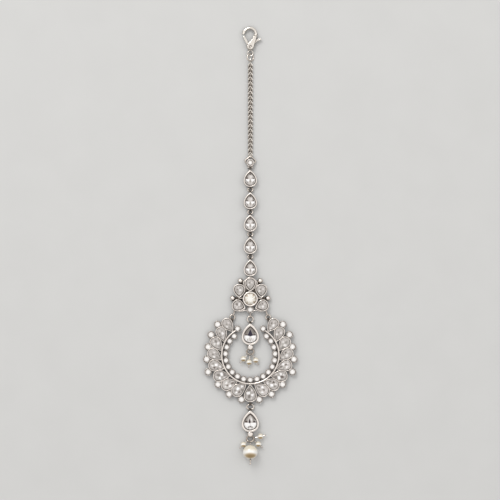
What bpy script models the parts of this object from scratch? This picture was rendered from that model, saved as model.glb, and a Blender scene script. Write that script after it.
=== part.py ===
"""Maang tikka: a head jewel of pear and round stones on a short chain.

It lies face up on a flat surface: +X to its right, +Y towards the clasp, +Z up.
Sizes are in millimetres; a mesh is made in metres through MM.
"""
import math

import bmesh
import bpy
from mathutils import Vector

MM = 0.001

# Clearances and seams
STONE_GAP = 0.1
RUN_GAP = 0.08
SOLDER = 0.12

# Small jump rings and the soldered loops that hold them
RING_WIRE = 0.25
EYE_WIRE = 0.16
EYE_PLANE = 1.0
EYE_HOLE = RING_WIRE + RUN_GAP
EYE_BEND = EYE_HOLE + EYE_WIRE
EYE_ROOT = 0.5

# Outlines
PEAR_SHARPNESS = 0.7
FOOT_INSET = 0.2
PEAR_SIDES = 14
ROUND_SIDES = 8
WIRE_SIDES = 5
RING_SIDES = 10

# Pear links between the chain and the flower; the last is soldered to the flower
LINK_COUNT = 5
LINK_WIDTH = 5.3
LINK_LENGTH = 6.75
LINK_HEIGHT = 2.3
LINK_GAP = 2.17
LINK_RIM = 0.5
LINK_RING_WIDTH = 2.0

# Stones in their settings: height of the seat, width of the crown's slope
SEAT = 1.0
LINK_CROWN = 0.9
PETAL_CROWN = 0.75
DROP_CROWN = 1.2
BEZEL_CROWN = 0.95
FUSED_CROWN = 0.75

# Flower
BEZEL_WIDTH = 6.0
BEZEL_HEIGHT = 2.7
BEZEL_RIM = 0.6
BEZEL_SIDES = 16
PETAL_WIDTH = 4.8
PETAL_LENGTH = 5.6
PETAL_HEIGHT = 2.2
PETAL_RIM = 0.4
TOP_PETAL_WIDTH = 4.5
TOP_PETAL_LENGTH = 5.6
FRAME_WIRE = 0.33
FRAME_HALF_WIDTH = 2.9
FRAME_TOP = 9.0
FRAME_LEVEL = 1.6
FRAME_SHOULDER = 0.95
FRAME_WAIST = 1.0
FRAME_WAIST_SHARE = 0.72
BEAD_RADIUS = 1.1
BACK_BAR_HALF = 0.5
STAR_ROOT = 2.6
BACK_BAR_HEIGHT = 0.6
BOTTOM_ROUND_WIDTH = 2.9
SIDE_EYE_REACH = 2.0
MIDDLE_EYE_DROP = 1.0
MIDDLE_EYE_REACH = 1.2

# Side petals: distance right of the middle, distance above it, turn of the tip from +Y
SIDE_PETALS = (
    (4.4, 3.15, 180.0),
    (4.55, -2.8, 110.0),
)

# Beads of the flower: distance right of the middle, distance above it, radius
SIDE_BEADS = (
    (3.95, 7.2, BEAD_RADIUS),
    (7.05, 0.25, BEAD_RADIUS),
)

# Crescent, in turns about its own centre
CRESCENT_DROP = 22.44
RAIL_RADIUS = 11.42
RAIL_WIRE = 0.32
RAIL_END = 149.0
RAIL_LEVEL = 1.3
PEARS_A_SIDE = 8
PEAR_WIDTH = 5.2
PEAR_LENGTH = 7.25
LEAF_SHARPNESS = 1.05
PEAR_HEIGHT = 2.2
PEAR_LEAN = 36.0
PEAR_STEP = 18.0
LAST_PEAR_TURN = 143.5
LAST_PEAR_WIDTH = 4.4
LAST_PEAR_LENGTH = 6.4
INNER_ROUNDS_A_SIDE = 9
INNER_WIDTH = 2.55
INNER_HEIGHT = 1.7
INNER_STEP = 15.5
OUTER_WIDTH = 2.9
OUTER_HEIGHT = 1.9
PEAR_SEAM = 0.25
LEAF_TIP_RADIUS = RAIL_RADIUS + RAIL_WIRE - PEAR_SEAM
ROUND_SEAM = 0.25
RAIL_SEAM = 0.12
END_ROUND_RADIUS = 11.7
END_ROUND_TURN = 154.0
ROUND_CROWN = 0.5

# Turns at which the outer rounds of one side sit
OUTER_TURNS = (11.3, 28.5, 47.8, 68.2, 84.6, 101.0, 117.4, 133.2)

# Hangers between the flower and the crescent
HANGER_WIDTH = 2.4
MIDDLE_HANGER_WIDTH = 2.3
CRESCENT_EYE_REACH = 1.6
SIDE_HANGER_X = 7.15
SIDE_HANGER_DROP = 7.3

# Pear drops
DROP_WIDTH = 6.95
DROP_LENGTH = 8.65
DROP_HEIGHT = 2.5
DROP_RIM = 0.8
INNER_DROP_TIP = 9.75
LOWER_GAP = 3.3
LOWER_HOLD = 0.9
DROP_HOLD = 1.6
FOOT_BEAD_RADIUS = 1.05
FOOT_BEAD_DROP = 0.85
FOOT_BEAD_LOW = 1.5
FOOT_BEAD_HIGH = 2.4
LOWER_RING_WIDTH = 2.8
TASSEL_RING_WIDTH = 2.9
TASSEL_RING_LENGTH = 2.3

# Pearls and their head pins
SMALL_PEARL = 1.2
MAIN_PEARL = 2.95
PIN_WIRE = 0.17
PIN_HEAD = 0.32
MAIN_PIN_HEAD = 0.45
MAIN_REACH = 4.05
MAIN_TAIL = 1.9
SMALL_TAIL = 0.7

# Small pearls: turn of the hanging place round the ring from +X, distance from there to the pearl
INNER_PEARLS = (
    (-131.5, 2.7),
    (-59.0, 2.85),
    (-96.0, 3.08),
)
TASSEL_PEARLS = (
    (-137.0, 2.26),
    (-36.5, 2.55),
    (14.0, 2.75),
)

# Connector at the chain's lower end
BARREL_STEP = 1.25
BARREL_RADIUS = 0.5
BARREL_LENGTH = 2.3
BARREL_SEAM = 0.32
CONNECTOR_WIDTH = 2.95
CONNECTOR_HEIGHT = 2.1
END_WIRE = 0.3
END_HALF_WIDTH = 2.1
END_LENGTH = 2.8
END_LINK_SHIFT = 0.06

# Chain
CHAIN_LINKS = 41
CHAIN_WIDTH = 2.0
CHAIN_WIRE = 0.21
CHAIN_PITCH = 0.945
CHAIN_FUSE = 0.12

# Clasp
CLASP_RING_WIDTH = 2.9
CLASP_RING_WIRE = 0.26
CLASP_RING_LEAN = 34.0
CLASP_RING_SLACK = 0.28
TAIL_RADIUS = 1.1
TAIL_WIRE = 0.3
TAIL_DROP = 2.6
CLASP_HEIGHT = 2.2
HOOK_WIRE = 0.62
LEVER_HEIGHT = 0.9
LEVER_GAP = 0.12
HUB_RADIUS = 0.85
RIVET_RADIUS = 0.42
ARM_HALF_WIDTH = 0.45

# Clasp body beside the rivet: right of it, above it
CLASP_PLATE = (
    (0.0, -1.5), (1.1, -1.05), (1.55, 0.0), (1.85, 1.3), (2.35, 2.6), (2.8, 4.3), (1.55, 4.7),
    (0.95, 3.4), (-0.1, 2.2), (-1.1, 1.1), (-1.6, 0.0), (-1.1, -1.05),
)
HOOK_PATH = (
    (2.15, 4.2), (2.2, 5.3), (1.85, 6.4), (0.9, 7.25), (-0.3, 7.5), (-1.5, 7.1),
    (-2.4, 6.2), (-2.75, 5.3), (-2.8, 4.8),
)
LEVER_OUTLINE = (
    (4.45, 2.75), (4.3, 3.3), (2.3, 2.75), (0.9, 1.1), (0.0, 0.85), (-0.75, 1.6), (-1.75, 3.3),
    (-2.3, 4.4), (-2.95, 4.1), (-2.55, 3.0), (-1.75, 1.4), (-0.85, 0.0), (-0.4, -0.75),
    (0.4, -0.75), (0.85, 0.0), (2.6, 1.95),
)
THUMB_SECTOR = (54.0, 6.0, 3.9)
GATE_SECTOR = (146.0, 96.0, 3.2)


def clear_scene():
    for old in list(bpy.data.objects):
        bpy.data.objects.remove(old, do_unlink=True)


def make_material(name, colour, metallic, roughness):
    material = bpy.data.materials.new(name)
    material.use_nodes = True
    shader = material.node_tree.nodes["Principled BSDF"]
    shader.inputs["Base Color"].default_value = (*colour, 1.0)
    shader.inputs["Metallic"].default_value = metallic
    shader.inputs["Roughness"].default_value = roughness
    return material


# Plan outlines, each a closed list of points

def round_outline(width, sides, x=0.0, y=0.0):
    turns = [2 * math.pi * index / sides for index in range(sides)]
    return [(x + width / 2 * math.cos(turn), y + width / 2 * math.sin(turn)) for turn in turns]


def pear_side(turn, sharpness):
    return math.sin(turn) * abs(math.sin(turn / 2)) ** sharpness


def pear_outline(width, length, inset=0.0, sharpness=PEAR_SHARPNESS):
    """Pear with its tip at +Y, centred on the middle of its full length."""
    half_width = width / 2 - inset
    half_length = length / 2 - 1.25 * inset
    middle = -0.25 * inset
    turns = [2 * math.pi * index / PEAR_SIDES for index in range(PEAR_SIDES)]
    widest = max(pear_side(turn, sharpness) for turn in turns)
    return [(-half_width * pear_side(turn, sharpness) / widest, middle + half_length * math.cos(turn))
            for turn in turns]


def place(outline, x, y, turn_degrees):
    """Turn an outline anticlockwise, then shift it."""
    turn = math.radians(turn_degrees)
    cosine = math.cos(turn)
    sine = math.sin(turn)
    return [(x + cosine * px - sine * py, y + sine * px + cosine * py) for px, py in outline]


def pear_shape(width, length, x, y, turn_degrees, sharpness=PEAR_SHARPNESS):
    return lambda inset: place(pear_outline(width, length, inset, sharpness), x, y, turn_degrees)


def round_shape(width, x, y, sides=ROUND_SIDES):
    return lambda inset: round_outline(width - 2 * inset, sides, x, y)


# Solids

def tidy(build, mesh):
    bmesh.ops.recalc_face_normals(build, faces=build.faces)
    build.to_mesh(mesh)
    build.free()
    return mesh


def loft(levels):
    """Closed solid through plan outlines at their heights, from its foot to its top."""
    build = bmesh.new()
    rows = [[build.verts.new((x * MM, y * MM, z * MM)) for x, y in outline] for outline, z in levels]
    count = len(rows[0])
    for lower, upper in zip(rows, rows[1:]):
        for index in range(count):
            after = (index + 1) % count
            build.faces.new((lower[index], lower[after], upper[after], upper[index]))
    build.faces.new(list(reversed(rows[0])))
    build.faces.new(rows[-1])
    return tidy(build, bpy.data.meshes.new("loft"))


def wire_profile(radius, sides):
    """Cross-section that a curve is bevelled with."""
    profile = bpy.data.curves.new("profile", "CURVE")
    spline = profile.splines.new("POLY")
    spline.points.add(sides - 1)
    for target, point in zip(spline.points, round_outline(2 * radius, sides)):
        target.co = (point[0] * MM, point[1] * MM, 0.0, 1.0)
    spline.use_cyclic_u = True
    return bpy.data.objects.new("profile", profile)


def wire(points, radius, closed, sides=WIRE_SIDES):
    """Wire along (x, y, z) points."""
    curve = bpy.data.curves.new("wire", "CURVE")
    curve.dimensions = "3D"
    curve.bevel_mode = "OBJECT"
    curve.bevel_object = wire_profile(radius, sides)
    curve.use_fill_caps = True
    spline = curve.splines.new("POLY")
    spline.points.add(len(points) - 1)
    for target, point in zip(spline.points, points):
        target.co = (point[0] * MM, point[1] * MM, point[2] * MM, 1.0)
    spline.use_cyclic_u = closed
    carrier = bpy.data.objects.new("wire", curve)
    bpy.context.scene.collection.objects.link(carrier)
    mesh = bpy.data.meshes.new_from_object(carrier.evaluated_get(bpy.context.evaluated_depsgraph_get()))
    bpy.data.objects.remove(curve.bevel_object, do_unlink=True)
    bpy.data.objects.remove(carrier, do_unlink=True)
    build = bmesh.new()
    build.from_mesh(mesh)
    bmesh.ops.remove_doubles(build, verts=build.verts, dist=1e-6)
    return tidy(build, mesh)


def plate(outline, low, high):
    return loft([(outline, low), (outline, high)])


def ball(centre, radius, around=10, rows=6):
    build = bmesh.new()
    bmesh.ops.create_uvsphere(build, u_segments=around, v_segments=rows, radius=radius * MM)
    bmesh.ops.translate(build, verts=build.verts, vec=Vector(centre) * MM)
    return tidy(build, bpy.data.meshes.new("ball"))


def joined(meshes):
    """One mesh of several shells that stay clear of each other."""
    build = bmesh.new()
    for mesh in meshes:
        build.from_mesh(mesh)
    return tidy(build, bpy.data.meshes.new("shells"))


def combine(base, others, operation="UNION"):
    """Exact Boolean of a base mesh with each of the other meshes in turn."""
    scene_objects = bpy.context.scene.collection.objects
    body = bpy.data.objects.new("body", base)
    scene_objects.link(body)
    tools = []
    for other in others:
        tool = bpy.data.objects.new("tool", other)
        scene_objects.link(tool)
        tools.append(tool)
        step = body.modifiers.new("step", "BOOLEAN")
        step.operation = operation
        step.solver = "EXACT"
        step.object = tool
    result = bpy.data.meshes.new_from_object(body.evaluated_get(bpy.context.evaluated_depsgraph_get()))
    for used in [body] + tools:
        bpy.data.objects.remove(used, do_unlink=True)
    return result


def setting(shape, height, rim, pocket):
    """Bezel cup whose outline is shape(inset); pocket is the height of its seat."""
    return loft([
        (shape(FOOT_INSET), 0.0),
        (shape(0.0), height),
        (shape(rim), height),
        (shape(rim), pocket),
    ])


def cut_stone(shape, height, rim, pocket, crown):
    """Stone in a setting: flat culet, girdle just below the rim, crown and table."""
    girdle = rim + STONE_GAP
    return loft([
        (shape(girdle + 0.45), pocket + STONE_GAP),
        (shape(girdle), height - 0.1),
        (shape(girdle + crown), height + 0.35),
    ])


def gem_and_cup(shape, height, crown):
    """Small stone fused to the cup that holds it."""
    return loft([
        (shape(FOOT_INSET), 0.0),
        (shape(0.0), height - 0.35),
        (shape(crown), height + 0.15),
    ])


def eye(hole_x, hole_y, away_degrees, reach, bend=EYE_BEND, plane=EYE_PLANE):
    """Upright loop round a wire at the hole; it reaches away into what carries it.

    away_degrees turns anticlockwise from +X.
    """
    away = math.radians(away_degrees)
    path = []
    for index in range(4):
        turn = math.radians(-90 + 60 * index)
        path.append((-bend * math.cos(turn), bend * math.sin(turn)))
    path.append((reach, bend))
    path.append((reach, -bend))
    return wire([(hole_x + along * math.cos(away), hole_y + along * math.sin(away), plane + up)
                 for along, up in path], EYE_WIRE, True)


def oval_ring(x, y, width, length, radius, sides=RING_SIDES, plane=EYE_PLANE, lean=0.0):
    """Ring of wire; width and length are over the wire's middle line."""
    tilt = math.radians(lean)
    path = []
    for index in range(sides):
        turn = 2 * math.pi * index / sides
        across = width / 2 * math.cos(turn)
        along = length / 2 * math.sin(turn)
        path.append((x + across * math.cos(tilt), y + along, plane - across * math.sin(tilt)))
    return wire(path, radius, True)


def turned(profile, around, centre, axis_from, axis_to):
    """Ring-shaped solid of a closed (radius, height) profile about the axis given by two points."""
    build = bmesh.new()
    axis = (Vector(axis_to) - Vector(axis_from)).normalized()
    turn = axis.to_track_quat("Z", "X")
    rows = []
    for index in range(around):
        angle = 2 * math.pi * index / around
        points = [Vector((radius * math.cos(angle), radius * math.sin(angle), height))
                  for radius, height in profile]
        rows.append([build.verts.new((Vector(centre) + turn @ point) * MM) for point in points])
    count = len(profile)
    for index, row in enumerate(rows):
        after = rows[(index + 1) % around]
        for step in range(count):
            follow = (step + 1) % count
            build.faces.new((row[step], after[step], after[follow], row[follow]))
    return tidy(build, bpy.data.meshes.new("turned"))


class Makers:
    """Puts finished meshes into the jewel's collection."""

    def __init__(self):
        self.group = bpy.data.collections.new("maang_tikka")
        bpy.context.scene.collection.children.link(self.group)
        self.root = bpy.data.objects.new("jewel_middle", None)
        self.group.objects.link(self.root)
        self.silver = make_material("silver", (0.72, 0.69, 0.66), 1.0, 0.22)
        self.stone = make_material("clear_stone", (0.86, 0.86, 0.88), 0.0, 0.05)
        self.pearl = make_material("pearl", (0.85, 0.79, 0.72), 0.0, 0.25)

    def add(self, name, mesh, material, smooth_degrees=None):
        mesh.name = name
        mesh.materials.clear()
        mesh.materials.append(material)
        piece = bpy.data.objects.new(name, mesh)
        self.group.objects.link(piece)
        piece.parent = self.root
        if smooth_degrees:
            mesh.shade_smooth()
            mesh.set_sharp_from_angle(angle=math.radians(smooth_degrees))
        return piece

    def centre(self):
        """Shift the whole jewel so that the middle of its length is at y = 0."""
        ends = [piece.location.y + vertex.co.y
                for piece in self.group.objects if piece.type == "MESH" for vertex in piece.data.vertices]
        self.root.location.y = -(min(ends) + max(ends)) / 2


# Sub-parts

def make_links(makers, places):
    for number, link_y in enumerate(places.link_y[:-1], start=1):
        shape = pear_shape(LINK_WIDTH, LINK_LENGTH, 0.0, link_y, 0.0)
        tip = link_y + LINK_LENGTH / 2
        foot = link_y - LINK_LENGTH / 2
        top_hold = BARREL_STEP if number == 1 else EYE_HOLE
        eyes = [eye(0.0, tip + top_hold, -90.0, top_hold + EYE_ROOT),
                eye(0.0, foot - EYE_HOLE, 90.0, EYE_HOLE + EYE_ROOT)]
        body = combine(setting(shape, LINK_HEIGHT, LINK_RIM, SEAT), eyes)
        makers.add(f"link_{number}", body, makers.silver, 40)
        stone = cut_stone(shape, LINK_HEIGHT, LINK_RIM, SEAT, LINK_CROWN)
        makers.add(f"link_stone_{number}", stone, makers.stone)
        ring_length = LINK_GAP - 2 * EYE_HOLE
        ring = oval_ring(0.0, foot - LINK_GAP / 2, LINK_RING_WIDTH, ring_length, RING_WIRE)
        makers.add(f"link_ring_{number}", ring, makers.silver, 60)


def back_star():
    """Flat star on the flower's back, with an arm under each petal and bead and under the last link."""
    ends = [(0.0, FRAME_TOP + LINK_LENGTH / 2)]
    for side in (-1, 1):
        ends += [(side * x, y) for x, y, turn in SIDE_PETALS]
        ends += [(side * x, y) for x, y, radius in SIDE_BEADS]
    ends.sort(key=lambda end: math.atan2(end[1], end[0]))
    outline = []
    for x, y in ends:
        reach = math.hypot(x, y)
        out_x = -y / reach * BACK_BAR_HALF
        out_y = x / reach * BACK_BAR_HALF
        root = STAR_ROOT / reach
        outline += [(x * root - out_x, y * root - out_y), (x - out_x, y - out_y),
                    (x + out_x, y + out_y), (x * root + out_x, y * root + out_y)]
    return plate(outline, 0.0, BACK_BAR_HEIGHT)


def make_flower(makers, places):
    last_link = pear_shape(LINK_WIDTH, LINK_LENGTH, 0.0, places.link_y[-1], 0.0)
    centre = round_shape(BEZEL_WIDTH, 0.0, 0.0, BEZEL_SIDES)
    top_y = BEZEL_WIDTH / 2 - SOLDER + TOP_PETAL_LENGTH / 2
    petals = [pear_shape(TOP_PETAL_WIDTH, TOP_PETAL_LENGTH, 0.0, top_y, 180.0)]
    for side in (-1, 1):
        for x, y, turn in SIDE_PETALS:
            petals.append(pear_shape(PETAL_WIDTH, PETAL_LENGTH, side * x, y, side * turn))
    solids = [setting(petal, PETAL_HEIGHT, PETAL_RIM, SEAT) for petal in petals]
    solids.append(setting(last_link, LINK_HEIGHT, LINK_RIM, SEAT))
    shoulder_y = top_y + FRAME_SHOULDER
    waist_y = top_y - FRAME_WAIST
    half = FRAME_HALF_WIDTH
    waist = FRAME_WAIST_SHARE * half
    corners = [(0.0, FRAME_TOP), (-half, shoulder_y), (-waist, waist_y),
               (0.0, BEZEL_WIDTH / 2), (waist, waist_y), (half, shoulder_y)]
    solids.append(wire([(x, y, FRAME_LEVEL) for x, y in corners], FRAME_WIRE, True))
    for side in (-1, 1):
        solids += [ball((side * x, y, radius), radius) for x, y, radius in SIDE_BEADS]
    round_y = -BEZEL_WIDTH / 2 - BOTTOM_ROUND_WIDTH / 2 + SOLDER
    solids.append(gem_and_cup(round_shape(BOTTOM_ROUND_WIDTH, 0.0, round_y), PETAL_HEIGHT, ROUND_CROWN))
    solids.append(back_star())
    for hole, away in ((places.hanger_flower_hole(-1), places.hanger_turn(-1)),
                       (places.hanger_flower_hole(1), places.hanger_turn(1))):
        solids.append(eye(*hole, away, SIDE_EYE_REACH))
    solids.append(eye(0.0, places.middle_hole, 90.0, MIDDLE_EYE_REACH))
    solids.append(eye(0.0, places.link_y[-1] + LINK_LENGTH / 2 + EYE_HOLE, -90.0, EYE_HOLE + EYE_ROOT))
    body = combine(setting(centre, BEZEL_HEIGHT, BEZEL_RIM, SEAT), solids)
    makers.add("flower", body, makers.silver, 40)
    makers.add("flower_stone", cut_stone(centre, BEZEL_HEIGHT, BEZEL_RIM, SEAT, BEZEL_CROWN), makers.stone)
    for number, petal in enumerate(petals, start=1):
        stone = cut_stone(petal, PETAL_HEIGHT, PETAL_RIM, SEAT, PETAL_CROWN)
        makers.add(f"petal_stone_{number}", stone, makers.stone)
    stone = cut_stone(last_link, LINK_HEIGHT, LINK_RIM, SEAT, LINK_CROWN)
    makers.add(f"link_stone_{LINK_COUNT}", stone, makers.stone)


def crescent_point(radius, turn_degrees, centre_y):
    """Point of the crescent; the turn runs from its bottom, anticlockwise positive."""
    turn = math.radians(turn_degrees)
    return radius * math.sin(turn), centre_y - radius * math.cos(turn)


def crescent_pear(step, centre_y):
    """Pear whose tip just runs into the rail; it leans towards the bottom, but for the first and last.

    step counts the pears of a side from the bottom one, to the right positive; they shrink towards the end.
    """
    turn = step * PEAR_STEP
    lean = PEAR_LEAN * min(1.0, abs(step))
    share = abs(step) / PEARS_A_SIDE
    width = PEAR_WIDTH + share * (LAST_PEAR_WIDTH - PEAR_WIDTH)
    length = PEAR_LENGTH + share * (LAST_PEAR_LENGTH - PEAR_LENGTH)
    if abs(step) == PEARS_A_SIDE:
        turn = math.copysign(LAST_PEAR_TURN, step)
        lean = 0.0
    half = length / 2
    cosine = math.cos(math.radians(lean))
    sine = math.sin(math.radians(lean))
    middle_radius = half * cosine + math.sqrt(LEAF_TIP_RADIUS ** 2 - (half * sine) ** 2)
    x, y = crescent_point(middle_radius, turn, centre_y)
    return pear_shape(width, length, x, y, turn + math.copysign(lean, turn), LEAF_SHARPNESS)


def notch_point(step, side, centre_y):
    """Middle of an outer round that is pushed into the notch after a pear of one side."""
    near = crescent_pear(side * step, centre_y)(0.0) + crescent_pear(side * (step + 1), centre_y)(0.0)
    radius = LEAF_TIP_RADIUS + 1.5 * PEAR_LENGTH
    while True:
        x, y = crescent_point(radius, side * OUTER_TURNS[step], centre_y)
        if min(math.hypot(x - px, y - py) for px, py in near) <= OUTER_WIDTH / 2 - ROUND_SEAM:
            return x, y
        radius -= 0.02


def make_crescent(makers, places):
    centre_y = places.crescent_y
    rail = wire([(*crescent_point(RAIL_RADIUS, turn, centre_y), RAIL_LEVEL)
                 for turn in spread(-RAIL_END, RAIL_END, 30)], RAIL_WIRE, False, 6)
    pears = [gem_and_cup(crescent_pear(step, centre_y), PEAR_HEIGHT, FUSED_CROWN)
             for step in range(-PEARS_A_SIDE, PEARS_A_SIDE + 1)]
    inner_radius = RAIL_RADIUS - RAIL_WIRE - INNER_WIDTH / 2 + RAIL_SEAM
    inner_points = [crescent_point(inner_radius, INNER_STEP * step, centre_y)
                    for step in range(-INNER_ROUNDS_A_SIDE, INNER_ROUNDS_A_SIDE + 1)]
    inner_points += [crescent_point(END_ROUND_RADIUS, side * END_ROUND_TURN, centre_y) for side in (-1, 1)]
    inner = [gem_and_cup(round_shape(INNER_WIDTH, x, y), INNER_HEIGHT, ROUND_CROWN) for x, y in inner_points]
    outer_points = [notch_point(step, side, centre_y) for step in range(PEARS_A_SIDE) for side in (-1, 1)]
    outer = [gem_and_cup(round_shape(OUTER_WIDTH, x, y), OUTER_HEIGHT, ROUND_CROWN) for x, y in outer_points]
    eyes = [eye(*places.hanger_crescent_hole(side), -90.0 + 10 * side, CRESCENT_EYE_REACH)
            for side in (-1, 1)]
    eyes.append(eye(0.0, places.crescent_foot - LOWER_HOLD, 90.0, LOWER_HOLD + EYE_ROOT))
    shells = [joined(pears[0::2]), joined(pears[1::2]), joined(inner), joined(outer), joined(eyes)]
    body = combine(rail, shells)
    makers.add("crescent", body, makers.silver, 30)


def spread(first, last, count):
    return [first + (last - first) * index / (count - 1) for index in range(count)]


def make_hangers(makers, places):
    for name, side in (("hanger_left", -1), ("hanger_right", 1)):
        ring = oval_ring(side * SIDE_HANGER_X, -SIDE_HANGER_DROP, HANGER_WIDTH - 2 * RING_WIRE,
                         HANGER_WIDTH - 2 * RING_WIRE, RING_WIRE)
        makers.add(name, ring, makers.silver, 60)
    length = places.middle_hole - places.inner_tip_hole
    middle = (places.middle_hole + places.inner_tip_hole) / 2
    ring = oval_ring(0.0, middle, MIDDLE_HANGER_WIDTH, length, RING_WIRE)
    makers.add("hanger_middle", ring, makers.silver, 60)


def make_drop(makers, name, stone_name, tip_y, tip_hold, foot_hold):
    middle = tip_y - DROP_LENGTH / 2
    shape = pear_shape(DROP_WIDTH, DROP_LENGTH, 0.0, middle, 0.0)
    foot = tip_y - DROP_LENGTH
    eyes = [eye(0.0, tip_y + tip_hold, -90.0, tip_hold + EYE_ROOT),
            eye(0.0, foot - foot_hold, 90.0, foot_hold + EYE_ROOT)]
    bead_y = foot - FOOT_BEAD_DROP
    half_height = (FOOT_BEAD_HIGH - FOOT_BEAD_LOW) / 2
    bead = loft([
        (round_outline(2 * FOOT_BEAD_RADIUS, RING_SIDES, 0.0, bead_y), FOOT_BEAD_LOW),
        (round_outline(2 * FOOT_BEAD_RADIUS, RING_SIDES, 0.0, bead_y), FOOT_BEAD_LOW + half_height),
        (round_outline(FOOT_BEAD_RADIUS, RING_SIDES, 0.0, bead_y), FOOT_BEAD_HIGH),
    ])
    makers.add(name, combine(setting(shape, DROP_HEIGHT, DROP_RIM, SEAT), eyes + [bead]), makers.silver, 40)
    makers.add(stone_name, cut_stone(shape, DROP_HEIGHT, DROP_RIM, SEAT, DROP_CROWN), makers.stone)


def pearl_on_pin(makers, pearl_name, pin_name, radius, ring_point, pearl_x, pearl_y, tail):
    """Pearl drilled along its pin, which hangs by its loop from a ring's wire."""
    start = Vector((ring_point[0], ring_point[1], EYE_PLANE))
    middle = Vector((pearl_x, pearl_y, radius))
    along = (middle - start).normalized()
    bore = PIN_WIRE + RUN_GAP
    edge = math.asin(bore / radius)
    arc = spread(-math.pi / 2 + edge, math.pi / 2 - edge, 7 if radius > 2 else 6)
    profile = [(radius * math.cos(angle), radius * math.sin(angle)) for angle in arc]
    pearl = turned(profile, 16 if radius > 2 else 10, middle, start, middle)
    makers.add(pearl_name, pearl, makers.pearl, 50)
    up = Vector((0.0, 0.0, 1.0))
    up = (up - along * up.dot(along)).normalized()
    loop = []
    for index in range(8):
        turn = 2 * math.pi * (index + 0.5) / 8
        loop.append(start + EYE_BEND * (along * math.cos(turn) + up * math.sin(turn)))
    end = middle + along * (radius + tail)
    stem = wire([start + along * (EYE_BEND - 0.06), end + along * 0.04], PIN_WIRE, False)
    head = ball(end, PIN_HEAD if radius < 2 else MAIN_PIN_HEAD, 6, 4)
    makers.add(pin_name, combine(wire(loop, EYE_WIRE, True), [stem, head]), makers.silver, 60)


def make_rings_and_pearls(makers, places):
    inner_y = places.inner_ring_y
    makers.add("inner_ring", oval_ring(0.0, inner_y, TASSEL_RING_WIDTH, TASSEL_RING_LENGTH, RING_WIRE),
               makers.silver, 60)
    for number, (turn, reach) in enumerate(INNER_PEARLS, start=1):
        hang_pearl(makers, f"inner_pearl_{number}", f"inner_pin_{number}", SMALL_PEARL,
                   inner_y, turn, reach, SMALL_TAIL)
    makers.add("lower_ring", oval_ring(0.0, places.lower_ring_y, LOWER_RING_WIDTH, places.lower_ring_length,
                                       RING_WIRE), makers.silver, 60)
    tassel_y = places.tassel_ring_y
    makers.add("tassel_ring", oval_ring(0.0, tassel_y, TASSEL_RING_WIDTH, TASSEL_RING_LENGTH, RING_WIRE),
               makers.silver, 60)
    for number, (turn, reach) in enumerate(TASSEL_PEARLS, start=1):
        hang_pearl(makers, f"tassel_pearl_{number}", f"tassel_pin_{number}", SMALL_PEARL,
                   tassel_y, turn, reach, SMALL_TAIL)
    hang_pearl(makers, "main_pearl", "main_pin", MAIN_PEARL, tassel_y, -90.0, MAIN_REACH, MAIN_TAIL)


def hang_pearl(makers, pearl_name, pin_name, radius, ring_y, turn_degrees, reach, tail):
    turn = math.radians(turn_degrees)
    hole = (TASSEL_RING_WIDTH / 2 * math.cos(turn), ring_y + TASSEL_RING_LENGTH / 2 * math.sin(turn))
    pearl_on_pin(makers, pearl_name, pin_name, radius, hole,
                 hole[0] + reach * math.cos(turn), hole[1] + reach * math.sin(turn), tail)


def make_connector(makers, places):
    shape = round_shape(CONNECTOR_WIDTH, 0.0, places.connector_y, 12)
    slot_half = END_WIRE + RUN_GAP
    slot = plate([(-3.0, places.connector_y - slot_half), (3.0, places.connector_y - slot_half),
                  (3.0, places.connector_y + slot_half), (-3.0, places.connector_y + slot_half)],
                 EYE_PLANE - 0.1 - slot_half, EYE_PLANE - 0.1 + slot_half)
    notch_half = EYE_WIRE + RUN_GAP
    notch_top = places.barrel_y + EYE_BEND + EYE_WIRE + RUN_GAP
    notch = plate([(-notch_half, places.barrel_y - 1.0), (notch_half, places.barrel_y - 1.0),
                   (notch_half, notch_top), (-notch_half, notch_top)],
                  -1.0, EYE_PLANE + EYE_BEND + EYE_WIRE + RUN_GAP)
    cup = combine(gem_and_cup(shape, CONNECTOR_HEIGHT, 0.55), [slot, notch], "DIFFERENCE")
    half = BARREL_LENGTH / 2
    pin = wire([(-half, places.barrel_y, EYE_PLANE), (half, places.barrel_y, EYE_PLANE)], RING_WIRE, False)
    knuckles = []
    for side in (-1, 1):
        inner = side * 0.35
        knuckles.append(wire([(inner, places.barrel_y, EYE_PLANE), (side * half, places.barrel_y, EYE_PLANE)],
                             BARREL_RADIUS, False, 8))
    makers.add("connector", combine(cup, [pin, joined(knuckles)]), makers.silver, 40)


def make_end_ring(makers, places):
    bar = places.connector_y
    half = END_HALF_WIDTH
    path = [(0.0, bar + END_LENGTH, EYE_PLANE - 0.1), (-half, bar + 0.3 * END_LENGTH, EYE_PLANE - 0.1),
            (-0.85 * half, bar, EYE_PLANE - 0.1), (0.85 * half, bar, EYE_PLANE - 0.1),
            (half, bar + 0.3 * END_LENGTH, EYE_PLANE - 0.1)]
    makers.add("chain_end_ring", wire(path, END_WIRE, True), makers.silver, 60)


def upright_link(centre_y):
    half_length = (CHAIN_PITCH + 2 * CHAIN_WIRE - CHAIN_FUSE) / 2
    half_width = CHAIN_WIDTH / 2 - CHAIN_WIRE
    path = []
    for index in range(RING_SIDES):
        turn = 2 * math.pi * (index + 0.5) / RING_SIDES
        path.append((0.0, centre_y + half_length * math.sin(turn),
                     CHAIN_WIDTH / 2 + half_width * math.cos(turn)))
    return wire(path, CHAIN_WIRE, True)


def make_chain(makers, places):
    """End links and a tube that stands for the fine links between them."""
    step = math.copysign(CHAIN_PITCH, places.chain_top - places.chain_bottom)
    count = 14
    tube = wire([(0.0, y, CHAIN_WIDTH / 2) for y in
                 spread(places.chain_bottom + 0.5 * step, places.chain_top - 0.5 * step, count)],
                CHAIN_WIDTH / 2, False, 8)
    ends = [upright_link(places.chain_bottom), upright_link(places.chain_top)]
    makers.add("chain", combine(tube, ends), makers.silver, 40)


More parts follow.
